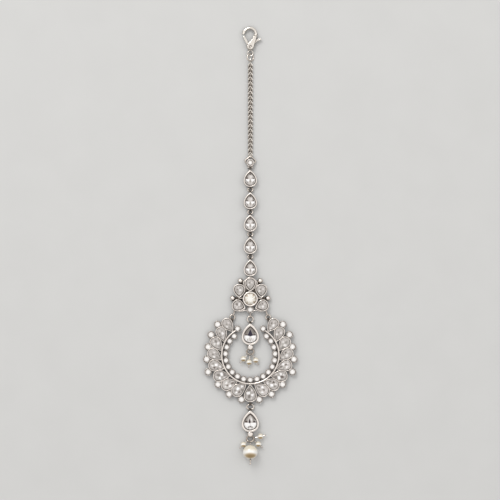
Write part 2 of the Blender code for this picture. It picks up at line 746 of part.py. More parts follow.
def inset_towards(outline, centre, share):
    return [(x + (centre[0] - x) * share, y + (centre[1] - y) * share) for x, y in outline]


def slot_sector(sector, pivot_y, low, high):
    """Wedge that a swinging arm sweeps, widened by the arm's half width."""
    first, last, reach = sector
    half = ARM_HALF_WIDTH
    corners = [(-half * math.sin(math.radians(first)), half * math.cos(math.radians(first)))]
    corners.append((corners[0][0] + reach * math.cos(math.radians(first)),
                    corners[0][1] + reach * math.sin(math.radians(first))))
    start = (half * math.sin(math.radians(last)), -half * math.cos(math.radians(last)))
    corners.append((start[0] + reach * math.cos(math.radians(last)),
                    start[1] + reach * math.sin(math.radians(last))))
    corners.append(start)
    return plate([(x, y + pivot_y) for x, y in reversed(corners)], low, high)


def rivet_bore(pivot):
    """Hole round the rivet, longer than the clasp is high."""
    return plate(round_outline(2 * (RIVET_RADIUS + LEVER_GAP), 12, 0.0, pivot), -1.0, CLASP_HEIGHT + 1.0)


def make_clasp(makers, places):
    pivot = places.rivet_y
    outline = [(x, y + pivot) for x, y in CLASP_PLATE]
    soft = inset_towards(outline, (0.3, pivot + 1.2), 0.16)
    body = loft([(soft, 0.0), (outline, 0.5), (outline, CLASP_HEIGHT - 0.5), (soft, CLASP_HEIGHT)])
    middle = CLASP_HEIGHT / 2
    hook = wire([(x, y + pivot, middle) for x, y in HOOK_PATH], HOOK_WIRE, False, 8)
    tail = oval_ring(0.0, pivot - TAIL_DROP, 2 * TAIL_RADIUS, 2 * TAIL_RADIUS, TAIL_WIRE, 12, middle)
    body = combine(body, [hook, tail])
    low = middle - LEVER_HEIGHT / 2 - LEVER_GAP
    high = middle + LEVER_HEIGHT / 2 + LEVER_GAP
    hub = plate(round_outline(2 * (HUB_RADIUS + LEVER_GAP), 16, 0.0, pivot), low, high)
    bore = rivet_bore(pivot)
    slots = [hub, bore]
    slots += [slot_sector(sector, pivot, low, high) for sector in (THUMB_SECTOR, GATE_SECTOR)]
    makers.add("clasp_body", combine(body, slots, "DIFFERENCE"), makers.silver, 40)
    lever = plate(LEVER_OUTLINE, middle - LEVER_HEIGHT / 2, middle + LEVER_HEIGHT / 2)
    lever = combine(lever, [rivet_bore(0.0)], "DIFFERENCE")
    makers.add("clasp_lever", lever, makers.silver, 40).location.y = pivot * MM
    rivet = plate(round_outline(2 * RIVET_RADIUS, 12, 0.0, pivot), 0.0, CLASP_HEIGHT)
    makers.add("clasp_rivet", rivet, makers.silver, 40)
    ring = oval_ring(0.0, places.clasp_ring_y, CLASP_RING_WIDTH, CLASP_RING_WIDTH, CLASP_RING_WIRE, 12,
                     middle, CLASP_RING_LEAN)
    makers.add("clasp_ring", ring, makers.silver, 60)


class Places:
    """Where the pieces lie along the jewel, from the flower's middle."""

    def __init__(self):
        pitch = LINK_LENGTH + LINK_GAP
        last = FRAME_TOP + LINK_LENGTH / 2
        self.link_y = [last + pitch * step for step in reversed(range(LINK_COUNT))]
        self.barrel_y = self.link_y[0] + LINK_LENGTH / 2 + BARREL_STEP
        self.connector_y = self.barrel_y + BARREL_RADIUS + CONNECTOR_WIDTH / 2 - BARREL_SEAM
        self.chain_bottom = self.connector_y + END_LENGTH + END_LINK_SHIFT
        self.chain_top = self.chain_bottom + (CHAIN_LINKS - 1) * CHAIN_PITCH
        self.clasp_ring_y = self.chain_top + CLASP_RING_WIDTH / 2
        clasp_ring_top = self.clasp_ring_y + CLASP_RING_WIDTH / 2 - CLASP_RING_WIRE
        self.tail_y = clasp_ring_top - CLASP_RING_SLACK + TAIL_RADIUS - TAIL_WIRE
        self.rivet_y = self.tail_y + TAIL_DROP
        self.crescent_y = -CRESCENT_DROP
        self.middle_hole = -BEZEL_WIDTH / 2 - BOTTOM_ROUND_WIDTH - MIDDLE_EYE_DROP
        self.inner_tip_hole = -INNER_DROP_TIP + EYE_HOLE
        self.inner_ring_y = -INNER_DROP_TIP - DROP_LENGTH - DROP_HOLD - TASSEL_RING_LENGTH / 2
        self.crescent_foot = self.crescent_y - LEAF_TIP_RADIUS - PEAR_LENGTH
        lower_tip = self.crescent_foot - LOWER_GAP
        self.lower_tip = lower_tip
        self.lower_ring_length = LOWER_GAP - LOWER_HOLD - EYE_HOLE
        self.lower_ring_y = self.crescent_foot - LOWER_HOLD - self.lower_ring_length / 2
        self.tassel_ring_y = lower_tip - DROP_LENGTH - DROP_HOLD - TASSEL_RING_LENGTH / 2

    def hanger_turn(self, side):
        return 90.0 + side * 20.0

    def hanger_flower_hole(self, side):
        turn = math.radians(self.hanger_turn(side))
        reach = HANGER_WIDTH / 2 - RING_WIRE
        return side * SIDE_HANGER_X + reach * math.cos(turn), -SIDE_HANGER_DROP + reach * math.sin(turn)

    def hanger_crescent_hole(self, side):
        return side * SIDE_HANGER_X, -SIDE_HANGER_DROP - HANGER_WIDTH / 2 + RING_WIRE


def main():
    clear_scene()
    places = Places()
    makers = Makers()
    make_clasp(makers, places)
    make_chain(makers, places)
    make_end_ring(makers, places)
    make_connector(makers, places)
    make_links(makers, places)
    make_flower(makers, places)
    make_hangers(makers, places)
    make_crescent(makers, places)
    make_drop(makers, "inner_drop", "inner_stone", -INNER_DROP_TIP, EYE_HOLE, DROP_HOLD)
    make_drop(makers, "lower_drop", "lower_stone", places.lower_tip, EYE_HOLE, DROP_HOLD)
    make_rings_and_pearls(makers, places)
    makers.centre()


main()
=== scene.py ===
"""Looks of the maang tikka: polished settings, cut stones, fine chain, wire rings and pearls.

Lengths are in millimetres from the middle of the flower; MM turns them into metres.
"""

import math

import bpy
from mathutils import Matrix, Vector
from mathutils.geometry import delaunay_2d_cdt


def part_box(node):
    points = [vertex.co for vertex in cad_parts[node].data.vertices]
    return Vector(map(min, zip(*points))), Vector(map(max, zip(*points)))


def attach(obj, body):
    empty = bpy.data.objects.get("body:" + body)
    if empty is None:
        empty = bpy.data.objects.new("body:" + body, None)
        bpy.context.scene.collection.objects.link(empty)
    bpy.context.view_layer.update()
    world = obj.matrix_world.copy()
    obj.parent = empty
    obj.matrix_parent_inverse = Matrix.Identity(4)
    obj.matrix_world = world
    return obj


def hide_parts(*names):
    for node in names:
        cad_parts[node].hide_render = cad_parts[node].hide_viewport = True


MM = 0.001

# Camera and picture, in metres; the sensor is in millimetres
CAMERA_HEIGHT = 0.8
PICTURE_WIDTH = 0.2
SENSOR_WIDTH = 36.0
PICTURE_MIDDLE = (-0.00012, -0.00196)

# Smoothness of the meshes
PEAR_POINTS = 48
ROUND_POINTS = 28
WIRE_SIDES = 12
THIN_WIRE_SIDES = 8
LINK_POINTS = 28
LINK_SIDES = 10
PEARL_SIDES = 32
PEARL_STEPS = 20
STONE_SIDES = 16
RING_STEPS = 40
RIM_STEPS = 12
DOME_STEPS = 10
RAIL_STEPS = 90

# Jump rings and the soldered loops that hold them
RING_WIRE = 0.25
RING_SWELL = 0.05
EYE_WIRE = 0.16
RUN_GAP = 0.08
EYE_HOLE = RING_WIRE + RUN_GAP
EYE_BEND = EYE_HOLE + EYE_WIRE
EYE_LEVEL = 1.0
EYE_ROOT = 0.5
LOOP_SPREAD = 0.27
BRIGHT_SPREAD = 0.12

# Cups; TIP_INSET is how many times as wide a pear's rim is at its tip as at its foot
PEAR_SHARPNESS = 0.7
TIP_INSET = 1.5
SEAT = 1.0
SOLDER = 0.12
FOOT_INSET = 0.2
FOOT_RISE = 0.12
WALL_FOOT = 0.4
WALL_TOP_DROP = 0.34
RIM_ROUND = 0.2
RIM_FLATNESS = 0.75
RIM_INSIDE = 0.04
RIM_INSIDE_DROP = 0.6
ROUND_RIM = 0.19

# Metal: reach of the painted shade where surfaces meet, and how dark the painted shade on the sides goes
PAINTED_CREVICE_SHADE_REACH = 1.1
PAINTED_SIDE_SHADE_LEVEL = 0.3

# Cut stones in their cups, with the facets' shares of the crown, the painted shade of the stones' sides and
# the soft stones' dimmed painted reflections
STONE_GAP = 0.1
STONE_DROP = 0.28
STONE_FOOT = 0.5
STONE_TAPER = 0.05
STONE_SIDE_PAINTED_SHADE = 0.3
KITE_HEIGHT = 0.62
KITE_REACH = 0.55
STAR_SHARE = 0.52
LINK_CROWN = 0.24
DROP_CROWN = 0.28
SOFT_CROWN = 0.22
PAINTED_LIGHT_DIM_LEVEL = 0.54
PAINTED_LIGHT_DIM_SHARE = 0.62

# Pear links
LINK_SIZE = (5.3, 6.75)
LINK_HEIGHT = 2.3
LINK_RIM = 0.5

# Pear drops with the bead at their foot
DROP_SIZE = (6.95, 8.65)
DROP_HEIGHT = 2.5
DROP_RIM = 0.8
FOOT_BEAD_RADIUS = 1.2
FOOT_BEAD_WAIST = 0.75
FOOT_BEAD_DROP = 0.85
FOOT_BEAD_LOW = 1.45
FOOT_BEAD_HIGH = 2.4
FOOT_BEAD_WALL = 0.1
DOME_FLATNESS = 0.45

# Flower, half of it: x, y, turn of the tip from +Y for petals; x, y for beads
SIDE_PETALS = (
    (4.4, 3.15, 180.0),
    (4.55, -2.8, 110.0),
)
SIDE_BEADS = (
    (3.95, 7.2),
    (7.05, 0.25),
)
PETAL_SIZE = (4.8, 5.6)
PETAL_HEIGHT = 2.2
PETAL_RIM = 0.42
TOP_PETAL_SIZE = (4.5, 5.6)
FLOWER_BEZEL = 6.0
FLOWER_BEZEL_HEIGHT = 2.7
FLOWER_BEZEL_RIM = 0.6
FLOWER_CROWN = 0.95
FLOWER_STONE_DROP = 0.3
FLOWER_ROUND = 2.9
FLOWER_ROUND_DROP = 0.1
FLOWER_ROUND_CROWN = 0.5
FLOWER_ROUND_GIRDLE = 0.35
BEAD_RADIUS = 1.1
FRAME_TOP = 9.0
FRAME_HALF_WIDTH = 2.9
FRAME_WIRE = 0.33
FRAME_LEVEL = 1.6
FRAME_SHOULDER = 0.95
FRAME_WAIST = 1.0
FRAME_WAIST_SHARE = 0.72
FRAME_CORNER = 0.3
SIDE_EYE_TURN = 20.0
SIDE_EYE_REACH = 2.0
MIDDLE_EYE_REACH = 1.2

# Flow lines of solder under the lower petals, x and y of one side, and pads beside the centre
FLOW_LINE = ((4.6, -5.0), (3.5, -4.85), (2.5, -4.6), (1.9, -4.55), (1.4, -4.85))
FLOW_LEVEL = 1.8
FLOW_WIRE = 0.22
PAD_LINE = (2.8, 3.4, 4.2, 4.8)
PAD_Y = 0.25
PAD_LEVEL = 0.95
PAD_RADIUS = 0.6

# Star on the flower's back
BACK_BAR_HALF = 0.5
BACK_BAR_HEIGHT = 0.6
STAR_ROOT = 2.6

# Crescent, in turns about its own centre
CRESCENT_DROP = 22.44
RAIL_RADIUS = 11.42
RAIL_WIRE = 0.32
RAIL_LEVEL = 1.3
RAIL_TOP_WIRE = 0.36
RAIL_TOP = 1.95
RAIL_END = 149.0
RAIL_SEAM = 0.12
PEARS_A_SIDE = 8
PEAR_SIZE = (5.2, 7.25)
LAST_PEAR_SIZE = (4.4, 6.4)
LAST_PEAR_TURN = 143.5
LEAF_SHARPNESS = 1.05
PEAR_HEIGHT = 2.1
PEAR_RIM = 0.4
PEAR_LEAN = 36.0
PEAR_STEP = 18.0
PEAR_SEAM = 0.25
PEAR_STONE_GAP = 0.06
PEAR_STONE_RISE = 0.2
DIM_STEP = 5
LEAF_TIP_RADIUS = RAIL_RADIUS + RAIL_WIRE - PEAR_SEAM
INNER_ROUNDS_A_SIDE = 9
INNER_STEP = 15.5
END_ROUND_RADIUS = 11.7
END_ROUND_TURN = 154.0
ROUND_STONE_GAP = 0.04
ROUND_SEAM = 0.25
NOTCH_START = 1.5
NOTCH_STEP = 0.02
CRESCENT_EYE_TURN = 10.0
CRESCENT_EYE_REACH = 1.6
LOWER_HOLD = 0.9

# Small rounds of the crescent: widths of the cup and the crown, heights of the cup, girdle and table,
# and how much their tones differ
INNER_ROUND = {"width": 2.55, "crown": 0.3, "cup": 1.65, "girdle": 1.4, "table": 1.83, "spread": 0.14}
OUTER_ROUND = {"width": 2.9, "crown": 0.35, "cup": 1.85, "girdle": 1.6, "table": 2.0, "spread": 0.16}

# Turns at which the outer rounds of one side sit
OUTER_TURNS = (11.3, 28.5, 47.8, 68.2, 84.6, 101.0, 117.4, 133.2)

# Pearls and their head pins
PIN_WIRE = 0.17
PIN_HEAD = 0.32
SMALL_TAIL = 0.7
MAIN_PEARL_LEAST = 2.0
MAIN_PIN_HEAD = 0.36
MAIN_TAIL = 1.9
MAIN_COLLAR = 0.44
MAIN_COLLAR_DROP = 0.42
BORE_GAP = 0.06
DIMPLE = 0.12

# Connector at the chain's lower end
CONNECTOR_HEIGHT = 2.05
CONNECTOR_RIM = 0.34
CONNECTOR_CROWN = 0.4
CONNECTOR_GIRDLE = 1.8
BARREL_RISE = 0.5
BARREL_RADIUS = 0.5
BARREL_HALF = 1.1
BARREL_EDGE = 0.05
BARREL_GAP_HALF = 0.35
BARREL_PIN = 0.2

# Clasp
CLASP_RING_WIDTH = 2.9
CLASP_RING_WIRE = 0.26
CLASP_RING_LEAN = 34.0
CAST_GRAIN = 0.08
CAST_POLISH = 12

# Chain of flat links and upright ones in turn, over a lower row of flat ones
CHAIN_LINKS = 41
CHAIN_WIDTH = 2.0
CHAIN_WIRE = 0.2
CHAIN_SLACK = 0.04
CHAIN_PITCH = 0.945
CHAIN_BEND = 0.85
CHAIN_BEND_CURVE = 1.3
CHAIN_LIFT = 0.15
CHAIN_UPRIGHT = 0.22
FLAT_LINK = 0.66
FLAT_TILT = 0.2
LOWER_ROW = 0.6
UPRIGHT_WIRE = 0.16
UPRIGHT_DROP = 0.2

# Pointed ring at the chain's lower end, as shares of its length, half width and sides
END_RING_SHOULDER = 0.3
END_RING_FOOT = 0.85
END_RING_CORNER = 0.18

# Floor and light; the floor's reach is in metres
FLOOR_REACH = 1.2
FLOOR_DROP = 0.03
SKY_STRENGTH = 1.08

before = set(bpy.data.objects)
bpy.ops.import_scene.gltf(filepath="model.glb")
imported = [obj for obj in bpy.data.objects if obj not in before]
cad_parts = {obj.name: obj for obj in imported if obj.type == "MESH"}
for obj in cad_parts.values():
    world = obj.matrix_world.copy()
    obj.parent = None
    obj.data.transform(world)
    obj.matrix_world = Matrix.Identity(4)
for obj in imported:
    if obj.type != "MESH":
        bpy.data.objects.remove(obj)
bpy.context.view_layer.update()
flower_low, flower_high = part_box("flower_stone")
FLOWER_Y = ((flower_low + flower_high) / 2).y / MM


# Materials

def new_material(name):
    material = bpy.data.materials.new(name)
    material.use_nodes = True
    return material, material.node_tree, material.node_tree.nodes["Principled BSDF"]


def feed(tree, node, inputs):
    """Gives each input a fixed value or the socket that feeds it."""
    for key, value in inputs.items():
        if isinstance(value, bpy.types.NodeSocket):
            tree.links.new(value, node.inputs[key])
        else:
            node.inputs[key].default_value = value


def add_node(tree, kind, inputs, operation=None):
    node = tree.nodes.new(kind)
    if operation:
        node.operation = operation
    feed(tree, node, inputs)
    return node


def ramp(tree, source, stops):
    """Colours at positions along a value."""
    node = add_node(tree, "ShaderNodeValToRGB", {"Fac": source})
    elements = node.color_ramp.elements
    while len(elements) < len(stops):
        elements.new(0.5)
    for element, (position, colour) in zip(elements, stops):
        element.position = position
        element.color = (*colour, 1.0)
    return node.outputs["Color"]


def noise(tree, scale, detail=3.0):
    place = tree.nodes.new("ShaderNodeTexCoord")
    texture = add_node(tree, "ShaderNodeTexNoise",
                       {"Vector": place.outputs["Object"], "Scale": scale, "Detail": detail})
    return texture.outputs["Fac"]


def metal_material(name, bright, dark, low_roughness, high_roughness, painted_side_shade=PAINTED_SIDE_SHADE_LEVEL):
    """Plated metal: soft cloudy polish, with painted shade on its sides and painted shade where surfaces
    meet.
    """
    material, tree, shader = new_material(name)
    polish = add_node(tree, "ShaderNodeMapRange",
                      {"Value": noise(tree, 900.0), "To Min": low_roughness, "To Max": high_roughness})
    # painted shade: ambient occlusion takes the colour from the bright one to the dark one where surfaces
    # meet
    painted_crevice_shade = add_node(tree, "ShaderNodeAmbientOcclusion", {"Distance": PAINTED_CREVICE_SHADE_REACH * MM})
    painted_crevice_shade.samples = 6
    tone = ramp(tree, painted_crevice_shade.outputs["AO"], [(0.42, dark), (0.93, bright)])
    # painted shade: faces that turn sideways are darkened, standing in for dark surroundings reflected at
    # grazing angles
    surface = tree.nodes.new("ShaderNodeNewGeometry")
    split = add_node(tree, "ShaderNodeSeparateXYZ", {"Vector": surface.outputs["Normal"]})
    upright = add_node(tree, "ShaderNodeMath", {0: split.outputs["Z"]}, "ABSOLUTE")
    side = add_node(tree, "ShaderNodeMapRange", {"Value": upright.outputs["Value"], "From Min": 0.05,
                                                 "From Max": 0.6, "To Min": painted_side_shade})
    with_painted_side_shade = add_node(tree, "ShaderNodeVectorMath", {0: tone, 1: side.outputs["Result"]}, "MULTIPLY")
    bump = add_node(tree, "ShaderNodeBump", {"Strength": 0.06, "Distance": 0.05 * MM,
                                             "Height": noise(tree, 4000.0, 2.0)})
    feed(tree, shader, {"Base Color": with_painted_side_shade.outputs["Vector"], "Metallic": 1.0,
                        "Roughness": polish.outputs["Result"], "Normal": bump.outputs["Normal"]})
    return material


def stone_material(name, stops):
    """Foil-backed cut stone: each face's painted reflection tone, from dark reflections to painted
    highlights, under a thin gloss.
    """
    material, tree, shader = new_material(name)
    # painted reflection: the tone of each face, read from the mesh
    facet_painted_light = tree.nodes.new("ShaderNodeAttribute")
    facet_painted_light.attribute_name = "facet_painted_light"
    clouded = add_node(tree, "ShaderNodeMath", {0: noise(tree, 500.0, 2.0), 1: 0.05, 2: facet_painted_light.outputs["Fac"]},
                       "MULTIPLY_ADD")
    feed(tree, shader, {"Base Color": ramp(tree, clouded.outputs["Value"], stops), "Roughness": 0.1,
                        "IOR": 1.35, "Coat Weight": 0.12, "Coat Roughness": 0.02})
    return material


def pearl_material():
    """Nacre: cream, with a tan oval patch of painted shade towards the pearl's -Y side and a painted
    highlight round it; the patch's place and size are shares of the pearl's box.
    """
    material, tree, shader = new_material("pearl_nacre_painted_shade")
    place = tree.nodes.new("ShaderNodeTexCoord")
    away = add_node(tree, "ShaderNodeVectorMath",
                    {0: place.outputs["Generated"], 1: (0.5, 0.31, 0.95)}, "SUBTRACT")
    painted_shade_oval = add_node(tree, "ShaderNodeVectorMath",
                         {0: away.outputs["Vector"], 1: (2.6, 5.4, 0.8)}, "MULTIPLY")
    painted_shade_distance = add_node(tree, "ShaderNodeVectorMath", {0: painted_shade_oval.outputs["Vector"]}, "LENGTH")
    clouded = add_node(tree, "ShaderNodeMath",
                       {0: noise(tree, 700.0), 1: 0.15, 2: painted_shade_distance.outputs["Value"]}, "MULTIPLY_ADD")
    shade = add_node(tree, "ShaderNodeMapRange", {"Value": clouded.outputs["Value"], "From Max": 2.6})
    # the tan stops are painted shade, and the near-white stop at 0.6 is a painted highlight
    tone = ramp(tree, shade.outputs["Result"], [
        (0.14, (0.28, 0.19, 0.085)),
        (0.32, (0.42, 0.32, 0.19)),
        (0.46, (0.74, 0.68, 0.59)),
        (0.6, (0.88, 0.87, 0.85)),
        (0.84, (0.8, 0.76, 0.68)),
        (1.0, (0.68, 0.62, 0.5)),
    ])
    feed(tree, shader, {"Base Color": tone, "Roughness": 0.22, "Coat Weight": 0.5, "Coat Roughness": 0.08})
    return material


silver = metal_material("bright_silver", (0.81, 0.745, 0.69), (0.15, 0.115, 0.092), 0.16, 0.3)
wire_silver = metal_material("wire_silver", (0.72, 0.645, 0.58), (0.045, 0.033, 0.025), 0.1, 0.2, 0.03)
# painted shade: a dark copy of the silver for the soldered loops, standing in for the shade inside the rings
loop_painted_shade_silver = metal_material("loop_painted_shade_silver", (0.20, 0.165, 0.135), (0.03, 0.022, 0.016), 0.2, 0.35, 0.2)
# painted shade: a darker copy of the chain's silver for its upright links and lower row
under_painted_shade_silver = metal_material("under_painted_shade_silver", (0.55, 0.48, 0.42), (0.07, 0.055, 0.044), 0.2, 0.35, 0.3)
round_silver = metal_material("round_silver", (0.64, 0.565, 0.51), (0.08, 0.06, 0.046), 0.14, 0.26, 0.2)
# painted shade: a darker copy of the wire silver for the two rings that look dark, standing in for the shade
# in their holes
ring_painted_shade_silver = metal_material("ring_painted_shade_silver", (0.50, 0.43, 0.37), (0.05, 0.04, 0.03), 0.12, 0.2, 0.06)
cast_silver = metal_material("cast_silver", (0.74, 0.69, 0.63), (0.12, 0.095, 0.075), 0.14, 0.26)
chain_silver = metal_material("chain_silver", (0.95, 0.88, 0.80), (0.06, 0.046, 0.034), 0.12, 0.24, 0.1)
# painted shade: a dark silver for the flower's back star, so that its gaps read as shade
back_painted_shade_silver = metal_material("back_painted_shade_silver", (0.36, 0.31, 0.27), (0.07, 0.056, 0.046), 0.3, 0.45)
# stone colours along the painted reflection tone of the facets: low tones are painted dark reflections, the
# top painted highlights
clear_stone = stone_material("clear_stone", [
    (0.0, (0.004, 0.004, 0.028)),
    (0.16, (0.085, 0.058, 0.048)),
    (0.4, (0.27, 0.25, 0.23)),
    (0.7, (0.57, 0.53, 0.50)),
    (1.0, (0.86, 0.85, 0.845)),
])
warm_stone = stone_material("warm_stone", [
    (0.0, (0.07, 0.05, 0.03)),
    (0.3, (0.40, 0.31, 0.21)),
    (0.6, (0.70, 0.64, 0.56)),
    (1.0, (0.84, 0.83, 0.79)),
])
round_stone = stone_material("round_stone", [
    (0.0, (0.08, 0.06, 0.048)),
    (0.3, (0.32, 0.275, 0.235)),
    (0.6, (0.60, 0.56, 0.525)),
    (1.0, (0.87, 0.85, 0.83)),
])
pearl = pearl_material()


# Outlines

def even_turns(count, first=0.0):
    return [first + 2 * math.pi * index / count for index in range(count)]


def tip_shift(inset):
    """How far an inset moves a pear's middle away from its tip."""
    return (TIP_INSET - 1) / 2 * inset


class Pear:
    """Pear outline at a place; its points can be asked for at any inset and turns from its tip."""

    def __init__(self, size, x, y, turn_degrees=0.0, sharpness=PEAR_SHARPNESS):
        self.size = size
        self.x = x
        self.y = y
        self.turn = math.radians(turn_degrees)
        self.sharpness = sharpness
        self.count = PEAR_POINTS

    def half_sizes(self, inset):
        return self.size[0] / 2 - inset, self.size[1] / 2 - (TIP_INSET + 1) / 2 * inset

    def side(self, turn):
        return math.sin(turn) * abs(math.sin(turn / 2)) ** self.sharpness

    def plain(self, inset, turns):
        """Points with the tip at +Y, before the outline is turned and moved to its place."""
        half_width, half_length = self.half_sizes(inset)
        widest = max(self.side(math.radians(angle)) for angle in range(90, 130))
        return [(-half_width * self.side(turn) / widest, half_length * math.cos(turn) - tip_shift(inset))
                for turn in turns]

    def placed(self, points):
        cosine = math.cos(self.turn)
        sine = math.sin(self.turn)
        return [(self.x + cosine * px - sine * py, self.y + sine * px + cosine * py) for px, py in points]

    def at(self, inset, turns):
        return self.placed(self.plain(inset, turns))


class Round:
    """Round outline at a place."""

    def __init__(self, width, x, y, count=ROUND_POINTS):
        self.width = width
        self.x = x
        self.y = y
        self.count = count

    def at(self, inset, turns, share=1.0):
        radius = share * (self.width / 2 - inset)
        return [(self.x - radius * math.sin(turn), self.y + radius * math.cos(turn)) for turn in turns]


# Meshes

def new_object(name, data):
    item = bpy.data.objects.new(name, data)
    bpy.context.scene.collection.objects.link(item)
    return item


class Shell:
    """Collects points and faces in millimetres and makes one object of them."""

    def __init__(self):
        self.points = []
        self.faces = []
        # painted reflection tone of each face, read by the stone materials
        self.tones = []

    def add_points(self, points):
        first = len(self.points)
        self.points += points
        return list(range(first, first + len(points)))

    def face(self, corners, tone=0.5):
        self.faces.append(corners)
        self.tones.append(tone)

    def rows(self, rows, loop=False, caps=True, shift=0):
        """Skin over rows of points; loop joins the last row to the first, whose start is shifted."""
        marks = [self.add_points(row) for row in rows]
        count = len(marks[0])
        pairs = list(zip(marks, marks[1:]))
        if loop:
            pairs.append((marks[-1], marks[0][shift:] + marks[0][:shift]))
        for lower, upper in pairs:
            for index in range(count):
                after = (index + 1) % count
                self.face((lower[index], lower[after], upper[after], upper[index]))
        if caps and not loop:
            self.face(tuple(reversed(marks[0])))
            self.face(tuple(marks[-1]))

    def make(self, name, material, replaces=(), smooth_degrees=35):
        """One object on the jewel's body, in the place of the nodes that it replaces."""
        mesh = bpy.data.meshes.new(name)
        mesh.from_pydata([(x * MM, (y + FLOWER_Y) * MM, z * MM) for x, y, z in self.points], [], self.faces)
        mesh.validate()
        # each face's painted reflection tone, for the stone materials
        facet_painted_light = mesh.attributes.new("facet_painted_light", "FLOAT", "FACE")
        facet_painted_light.data.foreach_set("value", self.tones)
        mesh.materials.append(material)
        if smooth_degrees:
            mesh.shade_smooth()
            mesh.set_sharp_from_angle(angle=math.radians(smooth_degrees))
        piece = new_object(name, mesh)
        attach(piece, "jewel")
        if replaces:
            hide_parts(*replaces)


def level(points, z):
    return [(x, y, z) for x, y in points]


def wire(shell, path, radius, closed, sides=WIRE_SIDES):
    """Round wire along a path of (x, y, z) points."""
    points = [Vector(point) for point in path]
    count = len(points)
    directions = []
    for index in range(count):
        before = points[index - 1] if closed or index else points[index]
        after = points[(index + 1) % count] if closed or index < count - 1 else points[index]
        directions.append((after - before).normalized())
    normal = directions[0].orthogonal().normalized()
    rows = []
    for point, direction in zip(points, directions):
        normal = (normal - direction * normal.dot(direction)).normalized()
        side = direction.cross(normal)
        rows.append([tuple(point + radius * (math.cos(turn) * normal + math.sin(turn) * side))
                     for turn in even_turns(sides)])
    shift = 0
    if closed:
        # the first row's start is moved so that the last row meets it without a twist
        carried = (normal - directions[0] * normal.dot(directions[0])).normalized()
        first = directions[0].orthogonal().normalized()
        angle = math.atan2(directions[0].dot(first.cross(carried)), first.dot(carried))
        shift = round(angle / (2 * math.pi / sides)) % sides
    shell.rows(rows, loop=closed, shift=shift)


def smooth_path(points, steps):
    """Catmull-Rom curve through points."""
    last = len(points) - 1
    result = []
    for span in range(last):
        before, here, after, next_one = (Vector(points[min(max(span + offset, 0), last)])
                                         for offset in (-1, 0, 1, 2))
        for step in range(steps):
            t = step / steps
            result.append(0.5 * ((2 * here) + (after - before) * t
                                 + (2 * before - 5 * here + 4 * after - next_one) * t * t
                                 + (3 * here - before - 3 * after + next_one) * t ** 3))
    result.append(Vector(points[-1]))
    return [tuple(point) for point in result]


def rounded_corners(corners, share):
    """Closed path whose corners are rounded over a share of their sides."""
    path = []
    for index, corner in enumerate(corners):
        before = Vector(corners[index - 1])
        after = Vector(corners[(index + 1) % len(corners)])
        here = Vector(corner)
        for t in (0.0, 0.25, 0.5, 0.75, 1.0):
            near = here.lerp(before, share * (1 - t))
            far = here.lerp(after, share * t)
            path.append(tuple(near.lerp(far, t)))
    return path


def ball(shell, centre, radius, around=20, rows=12):
    levels = []
    for row in range(1, rows):
        polar = math.pi * row / rows
        levels.append([(centre[0] + radius * math.sin(polar) * math.cos(turn),
                        centre[1] + radius * math.sin(polar) * math.sin(turn),
                        centre[2] - radius * math.cos(polar)) for turn in even_turns(around)])
    shell.rows(levels, caps=False)
    low = shell.add_points([(centre[0], centre[1], centre[2] - radius)])[0]
    high = shell.add_points([(centre[0], centre[1], centre[2] + radius)])[0]
    first = low - around * (rows - 1)
    last = low - around
    for index in range(around):
        after = (index + 1) % around
        shell.face((low, first + after, first + index))
        shell.face((high, last + index, last + after))


def bezel(shell, shape, height, rim):
    """Cup with a rounded rim; its inside below the stone is dark from shade, deepened by the metal's painted
    shade where surfaces meet.
    """
    turns = even_turns(shape.count)
    profile = [(FOOT_INSET, 0.0), (FOOT_INSET / 2, FOOT_RISE),
               (0.0, WALL_FOOT), (0.0, height - WALL_TOP_DROP)]
    for step in range(RIM_STEPS + 1):
        arc = math.pi * step / RIM_STEPS
        across = -math.copysign(abs(math.cos(arc)) ** RIM_FLATNESS, math.cos(arc))
        rise = math.sin(arc) ** RIM_FLATNESS
        profile.append((rim / 2 + rim / 2 * across, height - RIM_ROUND + RIM_ROUND * rise))
    profile += [(rim + RIM_INSIDE, height - RIM_INSIDE_DROP), (rim + RIM_INSIDE + 0.01, SEAT)]
    shell.rows([level(shape.at(inset, turns), z) for inset, z in profile])


def cut_stone(shell, shape, girdle, crown, low, high, tones, picture=None, seed=0.0):
    """Faceted stone: girdle, crown and star facets, all with painted reflection tones, and a flat table that
    shows the facets below it.
    """
    count = STONE_SIDES
    whole = even_turns(count)
    between = even_turns(count, math.pi / count)
    kite_level = low + KITE_HEIGHT * (high - low)
    foot = shell.add_points(level(shape.at(girdle + STONE_TAPER, whole), low - STONE_FOOT))
    edge = shell.add_points(level(shape.at(girdle, whole), low))
    kite = shell.add_points(level(shape.at(girdle + KITE_REACH * crown, between), kite_level))
    table = shell.add_points(level(shape.at(girdle + crown, whole), high))
    shell.face(tuple(reversed(foot)), STONE_SIDE_PAINTED_SHADE)
    for index in range(count):
        after = (index + 1) % count
        before = index - 1
        shell.face((foot[index], foot[after], edge[after], edge[index]), STONE_SIDE_PAINTED_SHADE)
        shell.face((edge[index], edge[after], kite[index]), tones("girdle", index))
        shell.face((edge[index], kite[index], table[index], kite[before]), tones("kite", index))
        shell.face((kite[index], table[after], table[index]), tones("star", index))
    if picture:
        table_with_painted_light(shell, shape, girdle + crown, high, whole, picture, seed)
        return
    star = shell.add_points(level(shape.at(girdle + crown, between, STAR_SHARE), high))
    heart = shell.add_points([(shape.x, shape.y, high)])[0]
    for index in range(count):
        after = (index + 1) % count
        before = index - 1
        shell.face((table[index], table[after], star[index]), tones("table", index))
        shell.face((star[before], table[index], star[index]), tones("inner", index))
        shell.face((heart, star[before], star[index]), tones("heart", index))


def inside(corners, x, y):
    result = False
    for (ax, ay), (bx, by) in zip(corners, corners[1:] + corners[:1]):
        if (ay > y) != (by > y) and x < ax + (y - ay) / (by - ay) * (bx - ax):
            result = not result
    return result


